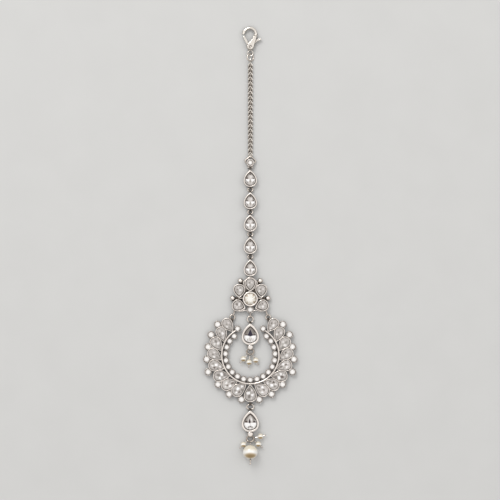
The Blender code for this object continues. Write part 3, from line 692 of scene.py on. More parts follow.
def table_with_painted_light(shell, shape, inset, high, turns, picture, seed):
    """Table cut along the lines of the facets below it, each with its own painted reflection tone."""
    half_width, half_length = shape.half_sizes(inset)
    outline = shape.plain(inset, turns)
    points = [Vector(point) for point in outline]
    edges = [(index, (index + 1) % len(outline)) for index in range(len(outline))]
    patches = []
    for tone, corners in picture["facets"]:
        patch = [(u * half_width, v * half_length - tip_shift(inset)) for u, v in corners]
        first = len(points)
        points += [Vector(point) for point in patch]
        edges += [(first + index, first + (index + 1) % len(patch)) for index in range(len(patch))]
        patches.append((tone, patch))
    cut_points, _, cut_faces, _, _, _ = delaunay_2d_cdt(points, edges, [], 0, 1e-4)
    marks = shell.add_points(level(shape.placed(cut_points), high))
    for corners in cut_faces:
        x = sum(cut_points[corner].x for corner in corners) / len(corners)
        y = sum(cut_points[corner].y for corner in corners) / len(corners)
        if not inside(outline, x, y):
            continue
        tone = picture["base"]
        for number, (patch_tone, patch) in enumerate(patches):
            if inside(patch, x, y):
                tone = patch_tone + picture["spread"] * variation(seed, number)
        shell.face(tuple(marks[corner] for corner in corners), tone)


def variation(seed, index):
    """Small repeatable number from -0.5 to 0.5."""
    return math.modf(abs(math.sin(12.9898 * seed + 78.233 * index) * 43758.5453))[0] - 0.5


# Painted reflections of the facets, as tones from a stone's tip round its left side to the foot, mirrored on
# the right
DROP_FACET_PAINTED_LIGHT = {
    "girdle": (0.12, 0.22, 0.2, 0.3, 0.6, 0.8, 0.66, 0.55, 0.7),
    "kite": (0.16, 0.24, 0.3, 0.22, 0.7, 0.95, 0.8, 0.6, 0.7),
    "star": (0.2, 0.3, 0.34, 0.2, 0.85, 0.9, 0.75, 0.66, 0.8),
}
SOFT_FACET_PAINTED_LIGHT = {
    "girdle": (0.2, 0.4, 0.24, 0.5, 0.3, 0.6, 0.26, 0.5, 0.4),
    "kite": (0.4, 0.5, 0.6, 0.46, 0.66, 0.55, 0.8, 0.6, 0.7),
    "star": (0.46, 0.6, 0.5, 0.66, 0.52, 0.8, 0.66, 0.86, 0.7),
}


def both_sides(facets):
    """Facets of one side and their mirror images."""
    return facets + [(tone, [(-u, v) for u, v in corners]) for tone, corners in facets]


# What a table shows: painted reflection tone and corners of each of its facets, from -1 to 1 across and from
# foot to tip
DROP_TABLE_PAINTED_LIGHT = {"base": 0.34, "spread": 0.08, "facets": both_sides([
    (0.27, [(0, 1), (0.55, 0.1), (1.1, 0.1), (1.1, 1)]),
    (0.46, [(0.14, 0.5), (0.46, 0.16), (0.24, 0.06)]),
    (0.8, [(0, -0.1), (1.1, -0.02), (1.1, -1.1), (0, -1.1)]),
    (0.12, [(0.2, 0.02), (0.75, 0.1), (1.1, 0.04), (1.1, -0.06), (0.16, -0.06)]),
    (1, [(0.1, -0.16), (0.3, -0.08), (0.92, -0.08), (0.8, -0.28), (0.46, -0.54), (0.16, -0.3)]),
    (0.52, [(0.46, -0.54), (0.62, -0.42), (0.52, -0.8), (0.3, -0.9)]),
    (0.95, [(0.62, -0.42), (0.82, -0.28), (0.74, -0.62), (0.52, -0.8)]),
    (0.66, [(0.16, -0.3), (0.3, -0.52), (0.16, -0.8), (0, -0.6)]),
    (0.5, [(0, -0.6), (0.12, -0.76), (0, -0.98)]),
]) + [
    (0, [(0, 0.86), (0.22, 0.42), (0.44, 0.05), (0.36, -0.1), (0, -0.2), (-0.36, -0.1),
           (-0.44, 0.05), (-0.22, 0.42)]),
]}
LINK_TABLE_PAINTED_LIGHT = {"base": 0.64, "spread": 0.1, "facets": both_sides([
    (0.5, [(0, 1), (0.4, 0.5), (0.5, 0.1), (1.1, 0.1), (1.1, 1)]),
    (0.6, [(0, -0.04), (1.1, -0.04), (1.1, -1.1), (0, -1.1)]),
    (0.2, [(0.48, 0.26), (1, 0.24), (1.05, 0), (0.5, 0.02)]),
    (1, [(0.14, -0.04), (0.95, -0.02), (0.86, -0.22), (0.5, -0.5), (0.2, -0.3)]),
    (0.42, [(0.5, -0.5), (0.86, -0.22), (0.8, -0.62), (0.5, -0.85)]),
    (0.72, [(0.2, -0.3), (0.5, -0.5), (0.3, -0.86), (0.06, -0.7)]),
]) + [
    (0.2, [(0, 1.05), (0.3, 0.7), (-0.3, 0.7)]),
    (0.78, [(0, 0.7), (0.16, 0.3), (0, -0.02), (-0.16, 0.3)]),
    (0.92, [(0.24, 0.6), (0.44, 0.36), (0.3, 0.22)]),
    (0.36, [(0, -0.06), (0.14, -0.4), (0, -0.7), (-0.14, -0.4)]),
]}
LOWER_TABLE_PAINTED_LIGHT = {"base": 0.6, "spread": 0.08, "facets": both_sides([
    (0.4, [(0, 1), (0.4, 0.5), (0.55, 0.1), (1.1, 0.1), (1.1, 1)]),
    (0.82, [(0, -0.1), (1.1, -0.06), (1.1, -1.1), (0, -1.1)]),
    (0.12, [(0.5, 0.2), (1, 0.16), (1.05, -0.06), (0.45, -0.04)]),
    (1, [(0.06, -0.2), (0.3, -0.1), (0.95, -0.1), (0.86, -0.34), (0.5, -0.66), (0.2, -0.5)]),
    (0.45, [(0.2, -0.5), (0.5, -0.66), (0.36, -0.92), (0.1, -0.8)]),
]) + [
    (0.04, [(-0.3, 0.02), (-0.16, 0.5), (0.06, 0.16), (0.02, -0.16), (-0.2, -0.14)]),
    (0.8, [(0.1, 0.7), (0.34, 0.4), (0.2, 0.1), (0.06, 0.3)]),
    (0.12, [(0, -0.5), (0.16, -0.62), (0, -0.74), (-0.16, -0.62)]),
]}
SOFT_TABLES_PAINTED_LIGHT = (
    {"base": 0.5, "spread": 0.12, "facets": [
        (0.95, [(-0.9, 0.15), (-0.1, 0.3), (0, -0.05), (-0.6, -0.2)]),
        (0.3, [(-0.7, 0.55), (0, 0.85), (0.1, 0.4), (-0.4, 0.3)]),
        (0.7, [(0.1, 0.75), (0.6, 0.4), (0.2, 0.3)]),
        (0.92, [(0.1, -0.1), (0.8, 0), (0.6, -0.45), (0.2, -0.35)]),
        (0.25, [(-0.5, -0.3), (0, -0.15), (0.05, -0.6), (-0.4, -0.7)]),
        (0.76, [(0.1, -0.5), (0.5, -0.6), (0.1, -0.95)]),
    ]},
    {"base": 0.62, "spread": 0.12, "facets": [
        (0.3, [(0, 0.95), (0.35, 0.5), (0.05, 0.2), (-0.2, 0.5)]),
        (0.98, [(0.1, 0.15), (0.75, 0.3), (0.55, -0.2)]),
        (0.4, [(-0.8, 0.3), (-0.25, 0.35), (-0.3, -0.1)]),
        (0.92, [(-0.75, -0.15), (-0.2, -0.2), (-0.35, -0.65)]),
        (0.15, [(0, -0.1), (0.4, -0.3), (0.1, -0.5)]),
        (0.8, [(0.15, -0.55), (0.55, -0.5), (0.3, -0.85)]),
    ]},
    {"base": 0.55, "spread": 0.12, "facets": [
        (0.85, [(-0.45, 0.6), (0.1, 0.8), (0, 0.35)]),
        (0.3, [(0.15, 0.5), (0.75, 0.35), (0.4, 0.05)]),
        (1, [(-0.6, 0.05), (-0.05, 0.2), (0.1, -0.25), (-0.4, -0.35)]),
        (0.2, [(0.2, -0.05), (0.8, -0.1), (0.5, -0.45)]),
        (0.86, [(0.05, -0.4), (0.5, -0.5), (0.15, -0.9)]),
        (0.4, [(-0.6, -0.45), (-0.1, -0.45), (-0.25, -0.85)]),
    ]},
)
# painted reflections of the round stones; the brightest table and heart tones are painted highlights
ROUND_FACET_PAINTED_LIGHT = {
    "girdle": (0.4, 0.56, 0.34, 0.62),
    "kite": (0.55, 0.8, 0.42, 0.84),
    "star": (0.65, 0.95, 0.5, 0.85),
    "table": (1.0, 0.7, 0.9, 0.55),
    "inner": (1.0, 0.8, 1.0, 0.9),
    "heart": (1.0, 0.9, 1.0, 1.0),
}


def dimmed(picture):
    """The same facets with less between light and dark."""
    return {"base": PAINTED_LIGHT_DIM_LEVEL, "spread": picture["spread"],
            "facets": [(PAINTED_LIGHT_DIM_LEVEL + PAINTED_LIGHT_DIM_SHARE * (tone - PAINTED_LIGHT_DIM_LEVEL), corners)
                       for tone, corners in picture["facets"]]}


def painted_light_toner(table, seed, spread):
    """Function that gives each of the facets its painted reflection tone: the table's, with a small
    difference of its own.
    """
    zones = list(table)

    def tone(zone, index):
        row = table[zone]
        value = row[min(index, STONE_SIDES - index) % len(row)]
        return value + spread * variation(seed + zones.index(zone) * 7.1, index)

    return tone


# Sub-parts

# Soldered loops of all settings, in a dark silver that paints the shade inside the rings they pass through,
# and the flower's bright ones; each becomes one piece at the end
loops = Shell()
bright_loops = Shell()


def eye(hole_x, hole_y, away_degrees, reach, shell=loops, spread=LOOP_SPREAD):
    """Doubled upright loop round a wire at the hole, rooted in the piece that carries it."""
    away = math.radians(away_degrees)
    path = []
    for index in range(13):
        turn = math.radians(-90 + 15 * index)
        path.append((-EYE_BEND * math.cos(turn), EYE_BEND * math.sin(turn)))
    path += [(reach * 0.5, EYE_BEND), (reach, EYE_BEND), (reach, -EYE_BEND), (reach * 0.5, -EYE_BEND)]
    for shift in (-spread, spread):
        x = hole_x - shift * math.sin(away)
        y = hole_y + shift * math.cos(away)
        wire(shell, [(x + along * math.cos(away), y + along * math.sin(away), EYE_LEVEL + up)
                     for along, up in path], EYE_WIRE, True, THIN_WIRE_SIDES)


def oval(centre, width, length, lean=0.0):
    """Path of a ring; width and length are over the wire's middle line."""
    tilt = math.radians(lean)
    path = []
    for turn in even_turns(RING_STEPS):
        across = width / 2 * math.cos(turn)
        path.append((centre[0] + across * math.cos(tilt), centre[1] + length / 2 * math.sin(turn),
                     centre[2] - across * math.sin(tilt)))
    return path


def local_box(node):
    """Corners of a node in millimetres from the flower's middle."""
    low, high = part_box(node)
    shift = Vector((0.0, FLOWER_Y, 0.0))
    return low / MM - shift, high / MM - shift


def top_of(node):
    return local_box(node)[1].z


def ring_for(node, material=wire_silver):
    """Smooth jump ring where the node's ring lies."""
    low, high = local_box(node)
    middle = (low + high) / 2
    size = high - low
    shell = Shell()
    radius = size.z / 2
    wire(shell, oval(middle, size.x - 2 * radius, size.y - 2 * radius), radius + RING_SWELL, True)
    shell.make(node + "_wire", material, replaces=(node,))


def hung_pear(shell, shape, height, rim, tip_hold, foot_hold):
    """Pear cup with a loop above its tip and one below its foot."""
    tip = shape.y + shape.size[1] / 2
    foot = shape.y - shape.size[1] / 2
    bezel(shell, shape, height, rim)
    eye(0.0, tip + tip_hold, -90.0, tip_hold + EYE_ROOT)
    eye(0.0, foot - foot_hold, 90.0, foot_hold + EYE_ROOT)


def make_links():
    """Pear links with their stones; the last is soldered to the flower."""
    for number in range(1, 5):
        shape = Pear(LINK_SIZE, 0.0, link_middle(number))
        high = local_box(f"link_{number}")[1]
        hold = high.y - (shape.y + LINK_SIZE[1] / 2) - EYE_BEND - EYE_WIRE
        shell = Shell()
        hung_pear(shell, shape, LINK_HEIGHT, LINK_RIM, hold, EYE_HOLE)
        shell.make(f"link_{number}_setting", silver, replaces=(f"link_{number}",))
        link_stone(number, shape)
        ring_for(f"link_ring_{number}")


def link_middle(number):
    """Middle of a link from the stone that sits in it."""
    low, high = local_box(f"link_stone_{number}")
    return (low.y + high.y) / 2 + tip_shift(LINK_RIM + STONE_GAP)


def make_stone(name, shape, rim, crown, low, high, tones, replaces, material, picture=None, seed=0.0):
    shell = Shell()
    cut_stone(shell, shape, rim + STONE_GAP, crown, low, high, tones, picture, seed)
    shell.make(name, material, replaces=replaces, smooth_degrees=None)


def link_stone(number, shape):
    """Stone of one of the five pear links."""
    make_stone(f"link_{number}_cut", shape, LINK_RIM, LINK_CROWN, LINK_HEIGHT - STONE_DROP,
               top_of(f"link_stone_{number}"), painted_light_toner(DROP_FACET_PAINTED_LIGHT, number, 0.12), (f"link_stone_{number}",),
               clear_stone, LINK_TABLE_PAINTED_LIGHT, number)


def flower_frame(shell, top_petal_y):
    """Wire frame from the top petal's sides up to the last link."""
    shoulder_y = top_petal_y + FRAME_SHOULDER
    waist_y = top_petal_y - FRAME_WAIST
    half = FRAME_HALF_WIDTH
    waist = FRAME_WAIST_SHARE * half
    corners = [(0.0, FRAME_TOP), (-half, shoulder_y), (-waist, waist_y),
               (0.0, FLOWER_BEZEL / 2), (waist, waist_y), (half, shoulder_y)]
    wire(shell, rounded_corners([(x, y, FRAME_LEVEL) for x, y in corners], FRAME_CORNER), FRAME_WIRE, True)


def flower_eyes():
    """Loops of the three hangers and of the link ring above the flower."""
    for side, node in ((-1, "hanger_left"), (1, "hanger_right")):
        low, high = local_box(node)
        turn = 90.0 + SIDE_EYE_TURN * side
        reach = (high.x - low.x) / 2 - RING_WIRE
        centre_x = (low.x + high.x) / 2
        centre_y = (low.y + high.y) / 2
        eye(centre_x + reach * math.cos(math.radians(turn)), centre_y + reach * math.sin(math.radians(turn)),
            turn, SIDE_EYE_REACH, bright_loops, BRIGHT_SPREAD)
    high = local_box("hanger_middle")[1]
    eye(0.0, high.y - RING_WIRE, 90.0, MIDDLE_EYE_REACH, bright_loops, BRIGHT_SPREAD)
    eye(0.0, link_middle(5) + LINK_SIZE[1] / 2 + EYE_HOLE, -90.0, EYE_HOLE + EYE_ROOT)


def make_flower():
    """Five petals round a bezel, with the last link, the frame, beads and the stones."""
    last_link = Pear(LINK_SIZE, 0.0, link_middle(5))
    top_y = FLOWER_BEZEL / 2 - SOLDER + TOP_PETAL_SIZE[1] / 2
    petals = [Pear(TOP_PETAL_SIZE, 0.0, top_y, 180.0)]
    for side in (-1, 1):
        for x, y, turn in SIDE_PETALS:
            petals.append(Pear(PETAL_SIZE, side * x, y, side * turn))
    centre = Round(FLOWER_BEZEL, 0.0, 0.0, PEAR_POINTS)
    bottom = Round(FLOWER_ROUND, 0.0, -FLOWER_BEZEL / 2 - FLOWER_ROUND / 2 + SOLDER)
    shell = Shell()
    bezel(shell, centre, FLOWER_BEZEL_HEIGHT, FLOWER_BEZEL_RIM)
    for petal in petals:
        bezel(shell, petal, PETAL_HEIGHT, PETAL_RIM)
    bezel(shell, last_link, LINK_HEIGHT, LINK_RIM)
    flower_frame(shell, top_y)
    for side in (-1, 1):
        for x, y in SIDE_BEADS:
            ball(shell, (side * x, y, BEAD_RADIUS), BEAD_RADIUS)
    bezel(shell, bottom, PETAL_HEIGHT - FLOWER_ROUND_DROP, ROUND_RIM)
    for side in (-1, 1):
        wire(shell, smooth_path([(side * x, y, FLOW_LEVEL) for x, y in FLOW_LINE], 6), FLOW_WIRE, False)
    flower_eyes()
    shell.make("flower_setting", silver, replaces=("flower",))
    make_stone("flower_cut", centre, FLOWER_BEZEL_RIM, FLOWER_CROWN, FLOWER_BEZEL_HEIGHT - FLOWER_STONE_DROP,
               top_of("flower_stone"), painted_light_toner(ROUND_FACET_PAINTED_LIGHT, 3, 0.16), ("flower_stone",), warm_stone)
    for number, petal in enumerate(petals, start=1):
        node = f"petal_stone_{number}"
        make_stone(f"petal_{number}_cut", petal, PETAL_RIM, SOFT_CROWN, PETAL_HEIGHT - STONE_DROP,
                   top_of(node), painted_light_toner(SOFT_FACET_PAINTED_LIGHT, number * 3.3, 0.2), (node,), clear_stone,
                   dimmed(SOFT_TABLES_PAINTED_LIGHT[number % 3]), number)
    link_stone(5, last_link)
    make_stone("flower_small_cut", bottom, ROUND_RIM, FLOWER_ROUND_CROWN, PETAL_HEIGHT - FLOWER_ROUND_GIRDLE,
               PETAL_HEIGHT + FLOWER_ROUND_DROP, painted_light_toner(ROUND_FACET_PAINTED_LIGHT, 4, 0.1), (), round_stone)


def make_back_star():
    """Star on the flower's back, coloured dark as painted shade seen through its gaps, and the pads beside
    the centre.
    """
    ends = [(0.0, FRAME_TOP + LINK_SIZE[1] / 2)]
    for side in (-1, 1):
        ends += [(side * x, y) for x, y, _ in SIDE_PETALS]
        ends += [(side * x, y) for x, y in SIDE_BEADS]
    ends.sort(key=lambda end: math.atan2(end[1], end[0]))
    outline = []
    for x, y in ends:
        reach = math.hypot(x, y)
        out_x = -y / reach * BACK_BAR_HALF
        out_y = x / reach * BACK_BAR_HALF
        root = STAR_ROOT / reach
        outline += [(x * root - out_x, y * root - out_y), (x - out_x, y - out_y),
                    (x + out_x, y + out_y), (x * root + out_x, y * root + out_y)]
    shell = Shell()
    shell.rows([level(outline, 0.0), level(outline, BACK_BAR_HEIGHT)])
    shell.make("flower_back_painted_shade", back_painted_shade_silver)
    pads = Shell()
    for side in (-1, 1):
        wire(pads, [(side * x, PAD_Y, PAD_LEVEL) for x in PAD_LINE], PAD_RADIUS, False)
    pads.make("flower_pads", silver)


def crescent_point(radius, turn_degrees):
    turn = math.radians(turn_degrees)
    return radius * math.sin(turn), -CRESCENT_DROP - radius * math.cos(turn)


def crescent_pear(step):
    """Pear whose leaning tip runs into the rail; step counts a side's pears from the bottom one."""
    turn = step * PEAR_STEP
    lean = PEAR_LEAN * min(1.0, abs(step))
    share = abs(step) / PEARS_A_SIDE
    size = tuple(first + share * (last - first) for first, last in zip(PEAR_SIZE, LAST_PEAR_SIZE))
    if abs(step) == PEARS_A_SIDE:
        turn = math.copysign(LAST_PEAR_TURN, step)
        lean = 0.0
    half = size[1] / 2
    cosine = math.cos(math.radians(lean))
    sine = math.sin(math.radians(lean))
    middle_radius = half * cosine + math.sqrt(LEAF_TIP_RADIUS ** 2 - (half * sine) ** 2)
    x, y = crescent_point(middle_radius, turn)
    return Pear(size, x, y, turn + math.copysign(lean, turn), LEAF_SHARPNESS)


def notch_point(step, side):
    """Middle of an outer round pushed into the notch after a pear of one side."""
    near = []
    for neighbour in (side * step, side * (step + 1)):
        near += crescent_pear(neighbour).at(0.0, even_turns(14))
    radius = LEAF_TIP_RADIUS + NOTCH_START * PEAR_SIZE[1]
    while True:
        x, y = crescent_point(radius, side * OUTER_TURNS[step])
        if min(math.hypot(x - px, y - py) for px, py in near) <= OUTER_ROUND["width"] / 2 - ROUND_SEAM:
            return x, y
        radius -= NOTCH_STEP


def crescent_rail(shell):
    """Rail in two wires, one above the other."""
    for rail_level, rail_wire in ((RAIL_LEVEL, RAIL_WIRE), (RAIL_TOP, RAIL_TOP_WIRE)):
        path = [(*crescent_point(RAIL_RADIUS, -RAIL_END + 2 * RAIL_END * step / RAIL_STEPS), rail_level)
                for step in range(RAIL_STEPS + 1)]
        wire(shell, path, rail_wire, False)


def crescent_eyes():
    """Loops of the two side hangers and of the ring below."""
    for side, node in ((-1, "hanger_left"), (1, "hanger_right")):
        low, high = local_box(node)
        eye((low.x + high.x) / 2, low.y + RING_WIRE, -90.0 + CRESCENT_EYE_TURN * side, CRESCENT_EYE_REACH)
    high = local_box("lower_ring")[1]
    eye(0.0, high.y - RING_WIRE, 90.0, LOWER_HOLD + EYE_ROOT)


def small_rounds(cups, stones, places, sizes, seed_step):
    """Round stones in their cups at places."""
    for number, place in enumerate(places):
        shape = Round(sizes["width"], *place)
        bezel(cups, shape, sizes["cup"], ROUND_RIM)
        cut_stone(stones, shape, ROUND_RIM + ROUND_STONE_GAP, sizes["crown"], sizes["girdle"], sizes["table"],
                  painted_light_toner(ROUND_FACET_PAINTED_LIGHT, seed_step * number, sizes["spread"]))


def make_crescent():
    """Rail with leaning pears outside it, and round stones inside it and in the notches between pears."""
    metal = Shell()
    pears = Shell()
    crescent_rail(metal)
    for step in range(-PEARS_A_SIDE, PEARS_A_SIDE + 1):
        shape = crescent_pear(step)
        bezel(metal, shape, PEAR_HEIGHT, PEAR_RIM)
        picture = SOFT_TABLES_PAINTED_LIGHT[step % 3]
        if abs(step) >= DIM_STEP:
            picture = dimmed(picture)
        cut_stone(pears, shape, PEAR_RIM + PEAR_STONE_GAP, SOFT_CROWN, PEAR_HEIGHT - STONE_DROP,
                  PEAR_HEIGHT + PEAR_STONE_RISE, painted_light_toner(SOFT_FACET_PAINTED_LIGHT, 1.7 * step + 40, 0.3), picture, step)
    rounds = Shell()
    cups = Shell()
    inner_radius = RAIL_RADIUS - RAIL_WIRE - INNER_ROUND["width"] / 2 + RAIL_SEAM
    inner = [crescent_point(inner_radius, INNER_STEP * step)
             for step in range(-INNER_ROUNDS_A_SIDE, INNER_ROUNDS_A_SIDE + 1)]
    inner += [crescent_point(END_ROUND_RADIUS, side * END_ROUND_TURN) for side in (-1, 1)]
    outer = [notch_point(step, side) for step in range(PEARS_A_SIDE) for side in (-1, 1)]
    small_rounds(cups, rounds, inner, INNER_ROUND, 2.3)
    small_rounds(cups, rounds, outer, OUTER_ROUND, 5.1)
    crescent_eyes()
    metal.make("crescent_setting", silver, replaces=("crescent",))
    cups.make("crescent_round_cups", round_silver)
    pears.make("crescent_pear_stones", clear_stone, smooth_degrees=None)
    rounds.make("crescent_round_stones", round_stone, smooth_degrees=None)


def foot_bead(shell, middle_y):
    """Half-round bead soldered under a drop."""
    profile = [(FOOT_BEAD_WAIST * FOOT_BEAD_RADIUS, FOOT_BEAD_LOW)]
    wall_top = FOOT_BEAD_LOW + FOOT_BEAD_WALL
    for step in range(DOME_STEPS):
        arc = math.pi / 2 * step / DOME_STEPS
        profile.append((FOOT_BEAD_RADIUS * math.cos(arc) ** DOME_FLATNESS,
                        wall_top + (FOOT_BEAD_HIGH - wall_top) * math.sin(arc)))
    shell.rows([[(radius * math.cos(turn), middle_y + radius * math.sin(turn), z)
                 for turn in even_turns(ROUND_POINTS)] for radius, z in profile])


def make_drop(node, stone_node, ring_below, picture):
    """Pear drop with its stone, both loops and the bead at its foot."""
    stone_low, stone_high = local_box(stone_node)
    middle = (stone_low.y + stone_high.y) / 2 + tip_shift(DROP_RIM + STONE_GAP)
    shape = Pear(DROP_SIZE, 0.0, middle)
    foot = middle - DROP_SIZE[1] / 2
    shell = Shell()
    hung_pear(shell, shape, DROP_HEIGHT, DROP_RIM, EYE_HOLE, foot - local_box(ring_below)[1].y + RING_WIRE)
    foot_bead(shell, foot - FOOT_BEAD_DROP)
    shell.make(node + "_setting", silver, replaces=(node,))
    make_stone(node + "_cut", shape, DROP_RIM, DROP_CROWN, DROP_HEIGHT - STONE_DROP, stone_high.z,
               painted_light_toner(DROP_FACET_PAINTED_LIGHT, middle, 0.1), (stone_node,), clear_stone, picture, middle)


def drilled_ball(shell, middle, radius, along, up):
    """Ball with a bore along a direction and a dimple at each end of the bore."""
    side = along.cross(up)
    bore = PIN_WIRE + BORE_GAP
    edge = math.asin(bore / radius) + DIMPLE
    profile = [(bore, -radius * math.cos(edge) + DIMPLE)]
    for step in range(PEARL_STEPS + 1):
        angle = -math.pi / 2 + edge + (math.pi - 2 * edge) * step / PEARL_STEPS
        profile.append((radius * math.cos(angle), radius * math.sin(angle)))
    profile.append((bore, radius * math.cos(edge) - DIMPLE))
    shell.rows([[tuple(middle + along * height + ring_radius * (math.cos(spin) * up + math.sin(spin) * side))
                 for spin in even_turns(PEARL_SIDES)] for ring_radius, height in profile], loop=True)


def hang_pearl(pearl_node, pin_node, ring_node):
    """Pearl on a head pin that loops round the ring, at the ring's point nearest the pearl."""
    low, high = local_box(pearl_node)
    middle = (low + high) / 2
    radius = (high.z - low.z) / 2
    ring_low, ring_high = local_box(ring_node)
    ring = (ring_low + ring_high) / 2
    half = (ring_high - ring_low) / 2 - Vector((RING_WIRE, RING_WIRE, 0.0))
    turn = math.atan2(middle.y - ring.y, middle.x - ring.x)
    for _ in range(30):
        turn = math.atan2(middle.y - ring.y - half.y * math.sin(turn),
                          middle.x - ring.x - half.x * math.cos(turn))
    start = Vector((ring.x + half.x * math.cos(turn), ring.y + half.y * math.sin(turn), EYE_LEVEL))
    along = (middle - start).normalized()
    up = Vector((0.0, 0.0, 1.0))
    up = (up - along * up.dot(along)).normalized()
    shell = Shell()
    drilled_ball(shell, middle, radius, along, up)
    shell.make(pearl_node + "_drilled", pearl, replaces=(pearl_node,), smooth_degrees=60)
    pin = Shell()
    loop = [tuple(start + EYE_BEND * (along * math.cos(spin) + up * math.sin(spin)))
            for spin in even_turns(24)]
    wire(pin, loop, EYE_WIRE, True, THIN_WIRE_SIDES)
    main = radius > MAIN_PEARL_LEAST
    tail = MAIN_TAIL if main else SMALL_TAIL
    head = MAIN_PIN_HEAD if main else PIN_HEAD
    end = middle + along * (radius + tail)
    root = start + along * (EYE_BEND - BORE_GAP)
    wire(pin, [tuple(root), tuple(middle), tuple(end)], PIN_WIRE, False, THIN_WIRE_SIDES)
    ball(pin, end, head, 14, 8)
    if main:
        ball(pin, middle + along * (radius + MAIN_COLLAR_DROP), MAIN_COLLAR, 14, 8)
    pin.make(pin_node + "_wire", wire_silver, replaces=(pin_node,))


def make_chain():
    """Flat links whose sides sweep down and upright ones in turn, over a lower row of flat ones; the upright
    links between the ends and the lower row are painted darker as shade.
    """
    low, high = local_box("chain")
    middle_level = CHAIN_WIDTH / 2
    width = CHAIN_WIDTH - 2 * CHAIN_WIRE
    ends = CHAIN_PITCH / 2 + 2 * CHAIN_WIRE + CHAIN_SLACK / 2
    first = low.y + ends
    pitch = (high.y - low.y - 2 * ends) / (CHAIN_LINKS - 1)
    flat_reach = FLAT_LINK / 2
    upright_reach = pitch + 2 * CHAIN_WIRE + CHAIN_SLACK - flat_reach

    def flat_link(links, y, level_of_link):
        path = []
        for turn in even_turns(LINK_POINTS):
            out = abs(math.cos(turn))
            path.append((width / 2 * math.cos(turn),
                         y + flat_reach * math.sin(turn) - CHAIN_BEND * out ** CHAIN_BEND_CURVE,
                         level_of_link + CHAIN_LIFT * out + FLAT_TILT * math.sin(turn)))
        wire(links, path, CHAIN_WIRE, True, LINK_SIDES)

    def upright_link(links, y):
        path = [(0.0, y + upright_reach * math.sin(turn),
                 middle_level - UPRIGHT_DROP + CHAIN_UPRIGHT * width / 2 * math.cos(turn))
                for turn in even_turns(LINK_POINTS)]
        wire(links, path, UPRIGHT_WIRE, True, LINK_SIDES)

    shell = Shell()
    under = Shell()
    for index in range(CHAIN_LINKS):
        y = first + pitch * index
        if index % 2:
            flat_link(shell, y, middle_level)
        elif index in (0, CHAIN_LINKS - 1):
            upright_link(shell, y)
        else:
            upright_link(under, y)
            flat_link(under, y, middle_level - LOWER_ROW)
    # painted shade: the upright links and the lower row take the darker silver
    under.make("chain_under_links_painted_shade", under_painted_shade_silver)
    shell.make("chain_links", chain_silver, replaces=("chain",))


def make_end_ring():
    """Pointed flat ring whose foot passes behind the round stone."""
    low, high = local_box("chain_end_ring")
    radius = (high.z - low.z) / 2
    z = (low.z + high.z) / 2
    half = high.x - radius
    bar = low.y + radius
    length = high.y - low.y - 2 * radius
    shoulder = bar + END_RING_SHOULDER * length
    foot = END_RING_FOOT * half
    corners = [(0.0, bar + length, z), (-half, shoulder, z), (-foot, bar, z), (foot, bar, z),
               (half, shoulder, z)]
    shell = Shell()
    wire(shell, rounded_corners(corners, END_RING_CORNER), radius, True)
    shell.make("chain_end_ring_wire", wire_silver, replaces=("chain_end_ring",))


def make_connector():
    """Small round stone in its cup, with the short barrel below."""
    low, high = local_box("connector")
    width = high.x - low.x
    shape = Round(width, 0.0, high.y - width / 2)
    barrel_y = low.y + BARREL_RISE
    barrel = (BARREL_GAP_HALF, BARREL_GAP_HALF + BARREL_EDGE, BARREL_HALF, BARREL_HALF + BARREL_EDGE)
    shell = Shell()
    bezel(shell, shape, CONNECTOR_HEIGHT, CONNECTOR_RIM)
    for side in (-1, 1):
        wire(shell, [(side * x, barrel_y, EYE_LEVEL) for x in barrel], BARREL_RADIUS, False, 20)
    wire(shell, [(x, barrel_y, EYE_LEVEL) for x in (-BARREL_HALF, 0.0, BARREL_HALF)], BARREL_PIN, False)
    shell.make("connector_setting", silver, replaces=("connector",))
    make_stone("connector_cut", shape, CONNECTOR_RIM, CONNECTOR_CROWN, CONNECTOR_GIRDLE, high.z,
               painted_light_toner(ROUND_FACET_PAINTED_LIGHT, 9, 0.14), (), round_stone)


def make_clasp():
    """The clasp keeps its solids, cast smooth; its ring is a smooth wire."""
    materials = {"clasp_body": cast_silver, "clasp_lever": cast_silver, "clasp_rivet": wire_silver}
    for node, material in materials.items():
        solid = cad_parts[node]
        solid.data.materials.clear()
        solid.data.materials.append(material)
        cast = solid.modifiers.new("cast", "REMESH")
        cast.mode = "VOXEL"
        cast.voxel_size = CAST_GRAIN * MM
        cast.use_smooth_shade = True
        polish = solid.modifiers.new("polish", "SMOOTH")
        polish.factor = 0.5
        polish.iterations = CAST_POLISH
    low, high = local_box("clasp_ring")
    middle = (low + high) / 2
    shell = Shell()
    wire(shell, oval(middle, CLASP_RING_WIDTH, CLASP_RING_WIDTH, CLASP_RING_LEAN), CLASP_RING_WIRE, True)
    shell.make("clasp_ring_wire", wire_silver, replaces=("clasp_ring",))


def make_floor():
    mesh = bpy.data.meshes.new("floor")
    corners = [(x * FLOOR_REACH, y * FLOOR_REACH, 0.0) for x, y in ((-1, -1), (1, -1), (1, 1), (-1, 1))]
    mesh.from_pydata(corners, [], [(0, 1, 2, 3)])
    floor = new_object("floor", mesh)
    floor.location.z = -FLOOR_DROP * MM
    material, tree, shader = new_material("floor_paper")
    tone = ramp(tree, noise(tree, 60.0), [(0.3, (0.566, 0.563, 0.552)), (0.7, (0.58, 0.577, 0.566))])
    feed(tree, shader, {"Base Color": tone, "Roughness": 0.9, "Specular IOR Level": 0.1})
    mesh.materials.append(material)


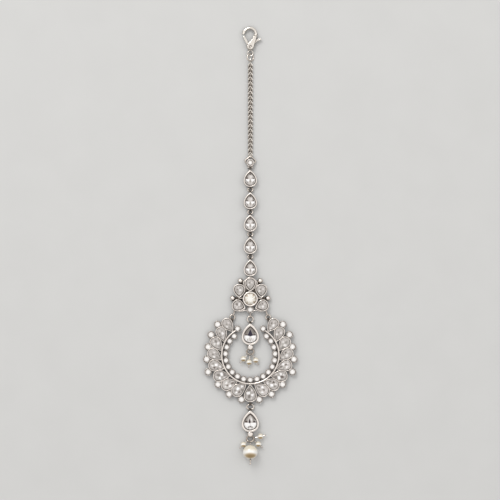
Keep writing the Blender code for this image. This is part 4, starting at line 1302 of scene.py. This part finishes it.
def make_sky():
    """Bright overhead, darker towards the near side and below."""
    world = bpy.data.worlds.new("studio")
    bpy.context.scene.world = world
    world.use_nodes = True
    tree = world.node_tree
    place = tree.nodes.new("ShaderNodeTexCoord")
    height = add_node(tree, "ShaderNodeVectorMath",
                      {0: place.outputs["Generated"], 1: (0.0, 0.3, 1.0)}, "DOT_PRODUCT")
    sky = ramp(tree, height.outputs["Value"], [
        (0.0, (0.28, 0.27, 0.26)),
        (0.3, (0.50, 0.49, 0.48)),
        (0.65, (0.90, 0.895, 0.89)),
        (0.93, (1.0, 1.0, 1.0)),
    ])
    feed(tree, tree.nodes["Background"], {"Color": sky, "Strength": SKY_STRENGTH})


def soft_light(name, place, size, power):
    """Square light aimed at the middle of the floor."""
    light = bpy.data.lights.new(name, "AREA")
    light.size = size
    light.energy = power
    lamp = new_object(name, light)
    lamp.location = place
    lamp.rotation_euler = (-Vector(place)).to_track_quat("-Z", "Y").to_euler()


def make_camera():
    lens = bpy.data.cameras.new("camera")
    lens.sensor_width = SENSOR_WIDTH
    lens.lens = SENSOR_WIDTH * CAMERA_HEIGHT / PICTURE_WIDTH
    lens.clip_start = 0.01
    camera = new_object("camera", lens)
    camera.location = (*PICTURE_MIDDLE, CAMERA_HEIGHT)
    bpy.context.scene.camera = camera


make_links()
make_flower()
make_back_star()
make_crescent()
make_drop("inner_drop", "inner_stone", "inner_ring", DROP_TABLE_PAINTED_LIGHT)
make_drop("lower_drop", "lower_stone", "tassel_ring", LOWER_TABLE_PAINTED_LIGHT)
for ring_node in ("hanger_left", "hanger_right", "hanger_middle", "lower_ring"):
    ring_for(ring_node)
# these two rings take the darker silver of painted shade
for ring_node in ("inner_ring", "tassel_ring"):
    ring_for(ring_node, ring_painted_shade_silver)
for number in (1, 2, 3):
    hang_pearl(f"inner_pearl_{number}", f"inner_pin_{number}", "inner_ring")
    hang_pearl(f"tassel_pearl_{number}", f"tassel_pin_{number}", "tassel_ring")
hang_pearl("main_pearl", "main_pin", "tassel_ring")
make_chain()
make_end_ring()
make_connector()
make_clasp()
# painted shade: these loops take the dark silver, while the flower's loops keep a lit one
loops.make("soldered_loops_painted_shade", loop_painted_shade_silver)
bright_loops.make("flower_loops", round_silver)
make_floor()
make_sky()
soft_light("key", (-0.3, 0.6, 0.75), 0.4, 3.4)
soft_light("fill", (0.6, 0.1, 0.6), 0.5, 0.4)
make_camera()
bpy.context.scene.view_settings.view_transform = "Standard"
